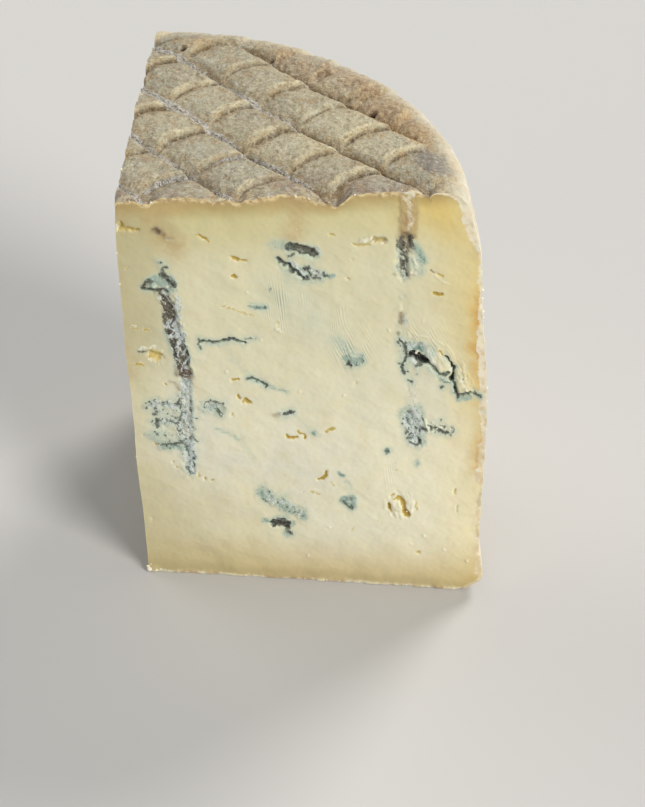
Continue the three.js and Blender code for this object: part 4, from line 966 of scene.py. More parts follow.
# distances to the top, side and base rinds on the cut faces
across = np.where(on["front"], x, r_left)
d_top = np.maximum(np.where(on["front"], top_z(np.minimum(x, xF), 0 * x), top_z(np.minimum(r_left, xL) * cosw, np.minimum(r_left, xL) * sinw)) - z, 0)
d_side = np.maximum(np.where(on["front"], rF(z), rL(z)) - across, 0)
attr("d_top", np.where(paste, d_top, 0))
attr("d_side", np.where(paste, d_side, 0))
attr("d_base", np.where(paste, z, 0))
SHELL = np.array([(0, 1.4), (10, .9), (22, 1.0), (38, 1.0), (42, 1.1), (45, 3.0), (49, 2.0), (53, 1.5), (57, 2.2), (60, .9), (64, 1.1), (71, 1.9), (78, 1.3), (82, 2.0), (89, 1.8), (92, 2.5), (96, 1.5), (106, 1.0), (112, .7), (119, .7), (125, 1.6), (131, 2.2), (137, 2.1), (143, 2.2)])
attr("d_shell", np.interp(z, SHELL[:, 0], SHELL[:, 1]) + 0.1)
# where the paste goes golden next to the side rind
WARM = np.array([(0, .8), (6, .7), (10, .3), (16, .1), (24, .0), (42, .05), (50, .7), (60, .55), (66, .3), (74, .5), (84, .75), (92, 1), (104, 1), (109, .7), (114, .25), (120, .05), (143, .0)])
attr("d_warm", np.interp(z + 2.0 * noise(x, y, z, 9, 49), WARM[:, 0], WARM[:, 1]))
attr("d_rind", np.where(paste, depth, 0))
attr("d_tip", np.where(paste, across, 0))
# rind
fade = np.where(s_at < 0, 1.0, 1 - smooth(1.0, 9.0, s_at))
attr("r_seam_shade", imp["seam"] * fade)
attr("r_stain_shade", np.clip(np.maximum(imp["dark"] * fade, outer["dark"]), 0, 1))
attr("r_line_shade", np.clip(np.maximum(imp["line"] * fade, outer["line"]), 0, 1))
attr("r_purple", np.clip(0.55 * fbm(x, y, 0, 11, 3, 46) + 0.62 * np.exp(-(np.maximum(y, 0) / 10.0) ** 2) - 0.12, 0, 1) * fade)
attr("r_age", np.clip(1.25 - 0.0145 * x + 0.5 * noise(x, y, 0, 15, 48) - 0.5 * imp["tone"] * 0.5, 0, 1) * fade)
attr("r_pink", smooth(71.5, 74.5, imp["v"]) * (1 - smooth(2, 8, s_at)) * smooth(22, 46, x))
attr("r_pale_highlight", np.clip(np.maximum(imp["pale"] * fade, outer["pale"]), 0, 1))
attr("r_tone", imp["tone"] * fade)
attr("r_side", np.clip(smooth(2.0, 10.0, s_at + 2.4 * fbm(x, y, z, 7, 3, 44)), 0, 1))
attr("r_s", s_at)
attr("r_pit_shade", np.clip(pit / 1.2, 0, 1))


def blob(cx_, cy_, rx, ry, turn=0.0):
    c, s = math.cos(turn), math.sin(turn)
    dx, dy = x - cx_, y - cy_
    return np.exp(-(((dx * c + dy * s) / rx) ** 2 + ((-dx * s + dy * c) / ry) ** 2))


ochre = np.clip(0.85 * blob(76, 30, 16, 2.6, deg(-49.6)) + 0.6 * blob(70, 46, 13, 5, deg(-45)) + 0.8 * blob(80, 32, 8, 5, deg(-60)) + 0.5 * blob(60, 60, 10, 5, deg(-45)) + 0.6 * blob(38, 72, 5, 4) + 0.5 * blob(12, 77, 6, 4), 0, 1)
attr("r_ochre", np.where(s_at < 14, ochre, 0))
attr("r_grey", np.clip(1.25 * blob(86, 13.5, 6.0, 8.0, deg(20)) + 0.5 * blob(22, 12, 8, 6), 0, 1) * (1 - smooth(9, 16, s_at)))
film = imp["line"] * np.clip(1.1 * blob(15, 8, 12, 7) + 0.9 * blob(29, 22, 8, 5) + 0.5 * blob(4, 34, 5, 8), 0, 1)
attr("r_fuzz", np.maximum(wide * fuzzy, 0.75 * film) * fade)
attr("r_mid", smooth(.12, .8, np.sin(math.pi * imp["vf"]) * np.sin(math.pi * imp["cf"])) * fade)
attr("r_base", on["base"] & ~on["side"])
me.validate()
cheese = bpy.data.objects.new("cheese", me)
bpy.context.collection.objects.link(cheese)

# ---------------------------------------------------------------------------
# Materials
# ---------------------------------------------------------------------------


def lin(r, g, b):
    f = lambda c: c / 12.92 if c <= 0.04045 else ((c + 0.055) / 1.055) ** 2.4
    return tuple(f(v / 255.0) for v in (r, g, b)) + (1.0,)


class Nodes:
    def __init__(self, name):
        self.mat = bpy.data.materials.new(name)
        self.mat.use_nodes = True
        self.t = self.mat.node_tree
        self.t.nodes.clear()
        self.out = self.t.nodes.new("ShaderNodeOutputMaterial")
        self.bsdf = self.t.nodes.new("ShaderNodeBsdfPrincipled")
        self.t.links.new(self.bsdf.outputs[0], self.out.inputs[0])
        self.co = self.t.nodes.new("ShaderNodeTexCoord").outputs["Object"]

    def put(self, sock, v):
        if isinstance(v, bpy.types.NodeSocket):
            self.t.links.new(v, sock)
        elif v is not None:
            sock.default_value = v

    def attr(self, name):
        n = self.t.nodes.new("ShaderNodeAttribute")
        n.attribute_name = name
        return n.outputs["Fac"]

    def noise(self, per_mm, detail=3.0, rough=0.55, distortion=0.0, w=0.0, stretch=None, kind="FBM"):
        n = self.t.nodes.new("ShaderNodeTexNoise")
        n.noise_dimensions = "3D"
        co = self.co
        m = self.t.nodes.new("ShaderNodeMapping")
        m.inputs["Location"].default_value = (w * 3.1, w * 1.7, -w * 2.3)
        if stretch:                                 # features run long along the turned axes
            m.vector_type = "TEXTURE"
            m.inputs["Rotation"].default_value = stretch[0]
            m.inputs["Scale"].default_value = stretch[1]
        self.t.links.new(co, m.inputs["Vector"])
        self.t.links.new(m.outputs[0], n.inputs["Vector"])
        n.inputs["Scale"].default_value = per_mm * 1000.0
        n.inputs["Detail"].default_value = detail
        n.inputs["Roughness"].default_value = rough
        n.inputs["Distortion"].default_value = distortion
        return n.outputs["Fac"]

    def voronoi(self, per_mm, feature="F1", rand=1.0):
        n = self.t.nodes.new("ShaderNodeTexVoronoi")
        n.feature = feature
        self.t.links.new(self.co, n.inputs["Vector"])
        n.inputs["Scale"].default_value = per_mm * 1000.0
        n.inputs["Randomness"].default_value = rand
        return n.outputs["Distance"]

    def math(self, op, a, b=None, c=None, clamp=False):
        n = self.t.nodes.new("ShaderNodeMath")
        n.operation = op
        n.use_clamp = clamp
        self.put(n.inputs[0], a)
        if b is not None:
            self.put(n.inputs[1], b)
        if c is not None:
            self.put(n.inputs[2], c)
        return n.outputs[0]

    def add(self, a, b, clamp=False): return self.math("ADD", a, b, clamp=clamp)
    def sub(self, a, b, clamp=False): return self.math("SUBTRACT", a, b, clamp=clamp)
    def mul(self, a, b, clamp=False): return self.math("MULTIPLY", a, b, clamp=clamp)
    def mx(self, a, b): return self.math("MAXIMUM", a, b)

    def remap(self, v, a, b, c=0.0, d=1.0, smoothstep=True):
        n = self.t.nodes.new("ShaderNodeMapRange")
        n.interpolation_type = "SMOOTHSTEP" if smoothstep else "LINEAR"
        n.clamp = True
        self.put(n.inputs[0], v)
        for i, q in zip((1, 2, 3, 4), (a, b, c, d)):
            self.put(n.inputs[i], q)
        return n.outputs[0]

    def mix(self, f, a, b, mode="MIX"):
        n = self.t.nodes.new("ShaderNodeMix")
        n.data_type = "RGBA"
        n.blend_type = mode
        n.clamp_factor = True
        self.put(n.inputs[0], f)
        self.put(n.inputs[6], a)
        self.put(n.inputs[7], b)
        return n.outputs[2]

    def ramp(self, f, stops):
        n = self.t.nodes.new("ShaderNodeValToRGB")
        el = n.color_ramp.elements
        while len(el) < len(stops):
            el.new(0.5)
        for e, (pos, col) in zip(el, stops):
            e.position = pos
            e.color = col
        self.put(n.inputs[0], f)
        return n.outputs[0]

    def bump(self, height, strength, dist_mm, normal=None):
        n = self.t.nodes.new("ShaderNodeBump")
        n.inputs["Strength"].default_value = strength
        n.inputs["Distance"].default_value = dist_mm * 0.001
        self.put(n.inputs["Height"], height)
        if normal is not None:
            self.put(n.inputs["Normal"], normal)
        return n.outputs[0]


def paste_material():
    g = Nodes("cheese_paste")
    big, mid, small, fine = g.noise(0.035, 2), g.noise(0.14, 3, w=.3), g.noise(0.6, 3, w=.6), g.noise(2.6, 2, .6, w=.9)
    # ivory paste
    col = g.mix(g.remap(big, .35, .65), lin(227, 223, 196), lin(223, 220, 199))
    col = g.mix(g.mul(g.remap(mid, .45, .72), .5), col, lin(225, 215, 176))
    col = g.mix(g.mul(g.remap(small, .52, .7), .2), col, lin(232, 227, 204))
    # older, yellower paste towards the rinds, with painted light at the lower right, painted shade by the tip edge and
    # partly painted shade near the base
    wob = g.mul(g.sub(g.noise(0.09, 2, w=1.3), .5), 7.0)
    dt, ds, db, dtip = g.attr("d_top"), g.attr("d_side"), g.attr("d_base"), g.attr("d_tip")
    high = g.remap(g.add(dt, wob), 92.0, 30.0)
    col = g.mix(g.mul(high, .7), col, lin(214, 208, 171))
    # painted light: the lower right of the cut faces is brightened, as if the light falls stronger there
    painted_light_low_right = g.mul(g.remap(g.add(dtip, g.mul(wob, 2.0)), 42.0, 88.0), g.remap(g.add(db, wob), 78.0, 40.0))
    col = g.mix(g.mul(painted_light_low_right, .85), col, lin(233, 227, 197))
    low_l = g.mul(g.remap(g.add(dtip, g.mul(wob, 2.0)), 64.0, 8.0), g.remap(g.add(db, wob), 52.0, 22.0))
    col = g.mix(g.mul(low_l, .70), col, lin(216, 206, 165))
    top = g.remap(g.add(dt, wob), 27.0, 0.0)
    col = g.mix(g.mul(top, .85), col, g.mix(g.remap(dtip, 10.0, 62.0), lin(199, 189, 133), lin(208, 198, 143)))
    inner = g.sub(ds, g.attr("d_shell"))
    corner = g.mul(g.mul(g.remap(g.add(ds, wob), 26.0, 3.0), g.remap(g.add(dt, wob), 21.0, 5.0)), g.remap(inner, 0.2, 4.0, .45, 1.0))
    col = g.mix(g.mul(corner, .9), col, lin(223, 189, 90))
    side = g.mul(g.remap(g.add(ds, g.mul(wob, .9)), 18.0, 1.0), g.remap(db, 40.0, 100.0, .5, .9))
    col = g.mix(g.mul(side, .85), col, g.mix(g.remap(db, 30.0, 90.0), lin(238, 221, 163), lin(224, 205, 141)))
    warm = g.attr("d_warm")
    side2 = g.remap(g.add(inner, g.mul(g.sub(g.noise(.30, 3, .6, w=2.6), .5), 4.0)), 4.6, .4)
    col = g.mix(g.mul(g.mul(side2, warm), g.remap(g.noise(0.16, 3, w=2.2), .32, .56, .35, .92)), col, lin(217, 181, 108))
    side3 = g.remap(g.add(inner, g.mul(g.sub(g.noise(.55, 3, .65, w=2.9), .5), 3.0)), 1.6, .1)
    col = g.mix(g.mul(g.mul(side3, warm), g.remap(g.noise(0.34, 3, w=3.1), .42, .58, 0, .85)), col, lin(207, 158, 84))
    # painted shade: the paste by the tip edge is darkened, more in its upper and lower parts
    tip = g.remap(g.add(dtip, wob), 16.0, 0.0)
    col = g.mix(g.mul(tip, .55), col, lin(201, 192, 150))
    painted_shade_tip_up = g.mul(g.remap(g.add(dtip, wob), 22.0, 5.0), g.remap(g.add(db, wob), 66.0, 96.0))
    col = g.mix(g.mul(painted_shade_tip_up, .54), col, lin(178, 169, 129))
    painted_shade_tip_low = g.mul(g.remap(g.add(dtip, wob), 34.0, 4.0), g.remap(g.add(db, wob), 56.0, 20.0))
    col = g.mix(g.mul(painted_shade_tip_low, .40), col, lin(190, 180, 141))
    top2 = g.remap(g.add(dt, g.mul(wob, .45)), 7.5, 0.8)
    col = g.mix(g.mul(top2, .85), col, lin(178, 152, 96))
    tan = g.attr("c_tan")
    tan_f = g.remap(g.add(tan, g.mul(tan, g.mul(g.sub(small, .5), 1.6))), 0.0, .9, smoothstep=False)
    col = g.mix(tan_f, col, g.mix(g.remap(mid, .4, .6), lin(192, 168, 116), lin(184, 156, 110)))
    # darker, tan paste towards the base: partly older paste by the base rind, partly painted shade
    base = g.remap(g.add(db, g.mul(wob, .7)), 22.0, 1.0)
    col = g.mix(g.mul(base, .74), col, g.mix(g.remap(dtip, 8.0, 50.0), lin(190, 173, 122), lin(202, 178, 117)))
    col = g.mix(g.mul(g.attr("c_haze"), g.remap(g.noise(.22, 3, w=9.4), .30, .60, .25, .70)), col, lin(205, 208, 186))
    # faint pale mottles and crystals
    spots = g.remap(g.voronoi(0.42), .13, .04)
    col = g.mix(g.mul(spots, g.remap(g.noise(.2, 2, w=4.1), .5, .66, 0, .45)), col, lin(240, 236, 220))
    # rind seen on edge: a pale rim
    dr = g.attr("d_rind")
    edge_w = g.add(dr, g.add(g.mul(g.sub(g.noise(0.16, 2, .6, w=5.0), .5), 3.4), g.mul(g.sub(g.noise(0.8, 3, .65, w=5.3), .5), 2.0)))
    line = g.remap(edge_w, 1.7, .7)
    line_col = g.mix(g.remap(g.noise(.5, 3, .65, w=5.7), .42, .60), lin(226, 208, 162), lin(176, 150, 108))
    col = g.mix(g.mul(line, g.remap(ds, 3.0, 9.0, 0, .85)), col, line_col)
    scal = g.remap(g.add(g.sub(ds, g.attr("d_shell")), g.add(g.mul(g.sub(g.noise(0.45, 4, .64, w=7.0), .5), 3.0), g.mul(g.sub(g.noise(0.17, 2, .6, w=7.3), .5), 2.6))), .30, -.20)
    col = g.mix(g.mul(scal, .95), col, g.mix(g.remap(g.add(g.noise(.5, 3, w=7.7), g.remap(db, 88.0, 30.0, -.06, .10)), .4, .65), lin(232, 225, 202), lin(222, 205, 166)))
    # painted shade on the last few millimetres above the base
    col = g.mix(g.mul(g.remap(g.add(db, g.mul(wob, .3)), 6.0, 1.4), .42), col, lin(168, 154, 112))
    foot = g.remap(g.add(db, g.mul(g.sub(g.noise(0.45, 3, w=8.0), .5), 2.0)), 1.35, .35)
    col = g.mix(g.mul(foot, .9), col, g.mix(g.remap(g.noise(.3, 3, w=8.8), .44, .66), lin(224, 212, 178), lin(184, 156, 120)))
    # mould: attributes fall off gently, noise breaks up their outlines
    dark, halo, blue, pale = g.attr("c_dark"), g.attr("c_halo"), g.attr("c_blue"), g.attr("c_pale")
    brown, amber, white_and_highlight, speck, crumb = g.attr("c_brown"), g.attr("c_amber"), g.attr("c_white_and_highlight"), g.attr("c_speck"), g.attr("c_crumb")
    j1, j2, j3 = g.sub(g.noise(1.0, 4, .66, w=.2), .5), g.sub(g.noise(2.4, 3, .7, w=.35), .5), g.sub(g.noise(4.5, 2, .7, w=.55), .5)
    jag = g.add(g.mul(j1, .9), g.mul(j2, .7))
    col = g.mix(g.mul(g.remap(g.add(halo, g.mul(j1, .5)), .0, 1.0, 0, .62, smoothstep=False), g.remap(halo, 0, .12)), col, lin(178, 196, 180))
    blue_f = g.remap(g.add(blue, g.mul(g.add(j1, j2), g.mul(blue, 1.5))), .05, 1.05, smoothstep=False)
    blue_col = g.ramp(blue_f, [(0.0, lin(206, 210, 186)), (.3, lin(186, 199, 180)), (.65, lin(146, 168, 155)), (1.0, lin(98, 126, 117))])
    col = g.mix(g.remap(blue_f, 0.0, .55, 0, .94), col, blue_col)
    pale_f = g.remap(g.add(pale, g.add(g.mul(j1, 1.1), g.mul(j2, .8))), .2, .7)
    col = g.mix(g.mul(pale_f, .9), col, g.mix(g.remap(g.add(g.noise(1.9, 3, .6, w=9.3), g.mul(crumb, .25)), .34, .58), lin(156, 168, 161), lin(213, 221, 214)))
    brown_f = g.remap(g.add(brown, g.mul(brown, g.mul(j1, 1.2))), .03, 1.0, smoothstep=False)
    col = g.mix(g.mul(brown_f, .92), col, g.mix(g.remap(g.noise(.9, 2, w=10.1), .4, .6), lin(104, 78, 56), lin(128, 108, 80)))
    # amber: paste gone translucent round the pores
    col = g.mix(g.mul(g.remap(amber, .03, .4), .42), col, lin(214, 194, 126))
    amb = g.remap(g.add(amber, g.mul(jag, 1.0)), .20, .74)
    col = g.mix(g.mul(amb, .94), col, g.mix(g.remap(g.add(amber, g.mul(j1, .9)), .5, 1.0), lin(203, 184, 112), lin(176, 146, 62)))
    rimw = g.mul(g.mul(g.remap(amber, .02, .16), g.remap(amber, .60, .36)), g.remap(g.noise(1.8, 3, .7, w=16.3), .53, .60))
    col = g.mix(g.mul(rimw, .7), col, lin(240, 236, 218))
    # white crumbs and rims, with painted highlights on a few raised spots
    whi = g.remap(g.add(white_and_highlight, g.mul(jag, .8)), .2, .6)
    col = g.mix(g.mul(whi, .7), col, lin(238, 234, 214))
    # dark mould, with pale frost on it where it is crusty
    dk = g.add(g.add(dark, g.mul(jag, 1.25)), g.mul(j3, .35))
    flake = g.sub(g.noise(.80, 3, .66, w=12.7, stretch=((0, deg(55), 0), (2.0, 1.0, 1.0))), .5)
    crust = g.add(g.mul(crumb, .55), g.add(g.mul(flake, 2.6), g.mul(j2, 1.1)))
    dk = g.sub(dk, g.mul(g.mul(speck, g.remap(crust, .0, .42)), .75))
    dk_f = g.remap(dk, .28, .64)
    shade = g.add(g.add(g.noise(1.0, 3, .65, w=12.0), g.mul(j3, .3)), g.remap(dark, .7, .96, .09, -.12, smoothstep=False))
    dark_col = g.mix(g.remap(shade, .36, .62), lin(44, 47, 41), lin(104, 110, 98))
    dark_col = g.mix(g.mul(brown, 1.5, clamp=True), dark_col, g.mix(g.remap(shade, .38, .62), lin(56, 43, 36), lin(104, 86, 72)))
    dark_col = g.mix(g.remap(dark, 1.0, 1.25), dark_col, lin(22, 23, 21))
    col = g.mix(g.mul(dk_f, .95), col, dark_col)
    flk = g.mul(g.mul(g.remap(g.add(crust, g.mul(j3, .6)), .16, .40), g.remap(speck, 0, .6)), g.remap(g.mx(dark, pale), .12, .5))
    col = g.mix(g.mul(flk, .92), col, g.mix(g.remap(j1, -.08, .10), lin(178, 186, 176), lin(218, 221, 214)))
    over = g.mul(g.mul(g.remap(g.add(pale, g.add(g.mul(j1, .9), g.mul(j2, .9))), .50, .78), g.remap(dark, .35, .6)), g.remap(speck, .55, .95))
    col = g.mix(g.mul(over, .88), col, g.mix(g.remap(j2, -.08, .10), lin(186, 196, 192), lin(222, 227, 224)))
    frost = g.mul(g.remap(g.noise(2.2, 3, .75, w=11.4), .585, .66), g.mul(g.remap(dark, .2, .5), g.remap(dark, 1.2, 1.0)))
    col = g.mix(g.mul(frost, .6), col, lin(178, 188, 178))
    g.put(g.bsdf.inputs["Base Color"], col)
    # surface
    rough = g.add(g.remap(fine, .3, .7, .36, .52), g.mul(g.mx(dk_f, pale_f), .30))
    g.put(g.bsdf.inputs["Roughness"], rough)
    g.bsdf.inputs["IOR"].default_value = 1.42
    g.bsdf.inputs["Specular IOR Level"].default_value = 0.42
    g.bsdf.inputs["Subsurface Weight"].default_value = 0.25
    g.bsdf.inputs["Subsurface Radius"].default_value = (1.0, 0.62, 0.30)
    g.bsdf.inputs["Subsurface Scale"].default_value = 0.002
    smear = g.noise(.22, 2, .5, w=14.0, stretch=((0, deg(28), 0), (2.0, 1.0, .9)))
    h = g.add(g.mul(smear, .8), g.mul(fine, .05))
    b1 = g.bump(h, .62, .45, g.bump(g.noise(.085, 3, .5, w=14.6), .6, 2.2))
    k_ = 2 * math.pi
    cut = g.add(g.mul(g.math("SINE", g.mul(g.attr("k_p1"), k_)), g.attr("k_m1")), g.mul(g.math("SINE", g.mul(g.attr("k_p2"), k_)), g.attr("k_m2")))
    b1 = g.bump(cut, .95, .075, b1)
    crust_h = g.mul(g.add(g.mul(g.noise(2.0, 4, .72, w=15.0), .7), g.mul(flake, 1.6)), g.add(g.mx(g.mx(dark, pale), g.mul(speck, .8)), .02))
    g.put(g.bsdf.inputs["Normal"], g.bump(crust_h, .9, .6, b1))
    return g.mat


def rind_material():
    g = Nodes("cheese_rind")
    seam, rstain_shade, rline_shade, rpale_highlight, tone = (g.attr(k) for k in ("r_seam_shade", "r_stain_shade", "r_line_shade", "r_pale_highlight", "r_tone"))
    side, ochre, grey, pit, basea = g.attr("r_side"), g.attr("r_ochre"), g.attr("r_grey"), g.attr("r_pit_shade"), g.attr("r_base")
    fuzz, purple = g.attr("r_fuzz"), g.attr("r_purple")
    n_big, n_mid, n_small = g.noise(.055, 3, w=.1), g.noise(.20, 3, .6, w=.4), g.noise(.50, 3, .62, w=.7)
    grain, fleck = g.noise(1.9, 3, .66, w=1.1), g.noise(.66, 2, .66, w=1.9)
    pits, blot = g.noise(.58, 2, .66, w=3.3), g.noise(.26, 3, .62, w=3.9)
    hair = g.noise(.70, 2, .6, w=1.5, stretch=((0, 0, deg(50)), (1.9, .95, 1.0)))
    age, middle = g.attr("r_age"), g.attr("r_mid")
    col = g.mix(g.remap(n_mid, .36, .66), lin(166, 155, 126), lin(189, 179, 147))
    col = g.mix(g.mul(g.remap(n_big, .42, .66), .7), col, lin(172, 169, 150))
    col = g.mix(g.mul(g.remap(tone, -1, 1), .4), col, lin(198, 183, 144))
    col = g.mix(g.mul(age, .8), col, g.mix(g.remap(n_mid, .36, .66), lin(140, 131, 110), lin(160, 151, 126)))
    # pads are greener in the middle and tan towards the seams
    mid_f = g.remap(g.add(middle, g.mul(g.sub(n_mid, .5), 1.2)), .25, .85)
    col = g.mix(g.mul(mid_f, .20), col, lin(168, 165, 141))
    rim_f = g.mul(g.remap(g.add(middle, g.mul(g.sub(n_small, .5), 1.6)), .40, .0), g.remap(blot, .40, .60, .04, .34))
    col = g.mix(rim_f, col, lin(184, 158, 110))
    pur = g.remap(g.add(purple, g.mul(g.sub(n_small, .5), .9)), .10, .55)
    col = g.mix(g.mul(pur, .62), col, lin(136, 117, 103))
    col = g.mix(g.mul(g.remap(blot, .54, .68), .55), col, lin(156, 124, 82))
    col = g.mix(g.mul(g.remap(blot, .42, .30), .4), col, lin(198, 197, 182))
    # pale ridges: rubbed rind, partly painted highlight on the ridge crests
    pale_f = g.remap(g.add(rpale_highlight, g.add(g.mul(g.sub(n_small, .5), 1.2), g.mul(g.sub(n_mid, .5), .8))), .26, .85)
    col = g.mix(g.mul(pale_f, g.remap(n_mid, .32, .60, .32, .84)), col, g.mix(g.mul(age, .6), lin(222, 210, 170), lin(192, 180, 145)))
    # brown staining by the seams and grooves, with painted shade on the slopes rising out of them
    stain_shade_f = g.remap(g.add(rstain_shade, g.add(g.mul(g.sub(n_mid, .5), .9), g.mul(g.sub(n_small, .5), .8))), .10, .95)
    col = g.mix(g.mul(stain_shade_f, .82), col, lin(108, 86, 52))
    # thin dark line along each groove: brown staining with painted shade in the groove
    line_shade_f = g.remap(g.add(rline_shade, g.mul(g.sub(n_small, .5), .8)), .4, 1.0)
    col = g.mix(g.mul(line_shade_f, .7), col, lin(84, 66, 44))
    och_f = g.remap(g.add(ochre, g.add(g.mul(g.sub(n_mid, .5), .6), g.mul(g.sub(hair, .5), .9))), .16, .75)
    col = g.mix(g.mul(och_f, .72), col, g.mix(g.remap(n_small, .40, .60), lin(168, 128, 76), lin(184, 154, 104)))
    pinky = g.remap(g.add(g.attr("r_pink"), g.mul(g.sub(n_mid, .5), .9)), .15, .8)
    col = g.mix(g.mul(pinky, g.remap(g.noise(.13, 2, w=8.8), .38, .6, .3, .75)), col, g.mix(g.remap(n_small, .40, .62), lin(141, 114, 85), lin(178, 155, 121)))
    grey_f = g.remap(g.add(grey, g.mul(g.sub(n_mid, .5), .6)), .2, .8)
    col = g.mix(g.mul(grey_f, .85), col, g.mix(g.remap(n_small, .4, .6), lin(108, 103, 97), lin(134, 127, 116)))
    # painted shade at the bottom of the seams
    deep = g.remap(g.add(seam, g.mul(g.sub(g.noise(1.4, 3, .7, w=2.9), .5), 1.2)), .62, 1.0)
    col = g.mix(g.mul(deep, .8), col, lin(72, 53, 33))
    # side: cream bloom over pale tan
    cream = g.mix(g.remap(n_mid, .38, .64), lin(221, 212, 188), lin(230, 224, 206))
    cream = g.mix(g.mul(g.remap(g.add(g.attr("r_s"), g.mul(g.sub(n_mid, .5), 12.0)), 24.0, 6.0), .7), cream, lin(204, 195, 172))
    cream = g.mix(g.mul(g.remap(g.add(g.attr("r_s"), g.mul(g.sub(n_mid, .5), 9.0)), 13.0, 1.0), .8), cream, lin(180, 172, 150))
    cream = g.mix(g.mul(g.remap(g.noise(.11, 4, .6, w=4.4), .48, .7), .6), cream, lin(206, 184, 138))
    cream = g.mix(g.mul(g.remap(n_small, .54, .72), .3), cream, lin(206, 190, 158))
    cream = g.mix(g.mul(g.remap(g.noise(.05, 3, w=6.6), .54, .72), .4), cream, lin(190, 182, 162))
    foot = g.remap(g.attr("r_s"), 128.0, 150.0)
    cream = g.mix(g.mul(foot, .45), cream, lin(192, 164, 124))
    cream = g.mix(g.mul(basea, .6), cream, lin(192, 172, 136))
    col = g.mix(g.mx(side, basea), col, cream)
    # pits, crystals and matted fibres
    keep = g.sub(1.0, g.mul(side, .62))
    col = g.mix(g.mul(g.mul(g.remap(pits, .52, .68), .52), keep), col, lin(128, 103, 68))
    col = g.mix(g.mul(g.mul(g.remap(hair, .52, .66), .20), keep), col, lin(206, 196, 164))
    col = g.mix(g.mul(g.mul(g.remap(fleck, .52, .68), .30), keep), col, lin(214, 207, 184))
    col = g.mix(g.mul(g.mul(g.remap(grain, .53, .68), .34), keep), col, lin(110, 91, 66))
    col = g.mix(g.mul(g.mul(g.remap(grain, .46, .34), .20), keep), col, lin(222, 215, 192))
    # grey-white mould lying in the seams
    strands = None
    for turn, w_ in ((-38, 2.4), (-66, 5.2), (-12, 8.1)):
        n_ = g.noise(1.15, 2, .6, w=w_, stretch=((0, 0, deg(turn)), (3.2, .9, 1.0)))
        st = g.remap(g.math("ABSOLUTE", g.sub(n_, .5)), .050, .016)
        strands = st if strands is None else g.mx(strands, st)
    col = g.mix(g.mul(g.remap(fuzz, .10, .75), .18), col, lin(142, 134, 120))
    col = g.mix(g.mul(g.mul(strands, .88), g.remap(g.add(fuzz, g.mul(g.sub(n_mid, .5), .8)), .16, .5)), col, lin(205, 202, 193))
    # painted shade in the needle pits, darkest where they are deepest
    col = g.mix(pit, col, lin(82, 58, 38))
    g.put(g.bsdf.inputs["Base Color"], col)
    g.put(g.bsdf.inputs["Roughness"], g.remap(grain, .3, .7, .78, .95))
    g.bsdf.inputs["Specular IOR Level"].default_value = 0.25
    g.bsdf.inputs["Sheen Weight"].default_value = 0.10
    g.bsdf.inputs["Sheen Roughness"].default_value = 0.5
    g.bsdf.inputs["Subsurface Weight"].default_value = 0.05
    g.bsdf.inputs["Subsurface Radius"].default_value = (1.0, 0.7, 0.4)
    g.bsdf.inputs["Subsurface Scale"].default_value = 0.001
    b1 = g.bump(g.sub(g.add(g.mul(n_small, .7), g.mul(hair, .3)), g.mul(pits, .7)), .9, 1.1)
    b2 = g.bump(g.add(g.mul(fleck, .75), g.mul(g.mul(strands, g.remap(fuzz, .16, .5)), .6)), .8, .5, b1)
    g.put(g.bsdf.inputs["Normal"], g.bump(grain, .7, .28, b2))
    return g.mat


me.materials.append(paste_material())
me.materials.append(rind_material())
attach(cheese, "root")
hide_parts("cheese_wedge")

# ---------------------------------------------------------------------------
# Crumbs stuck to the edges
# ---------------------------------------------------------------------------


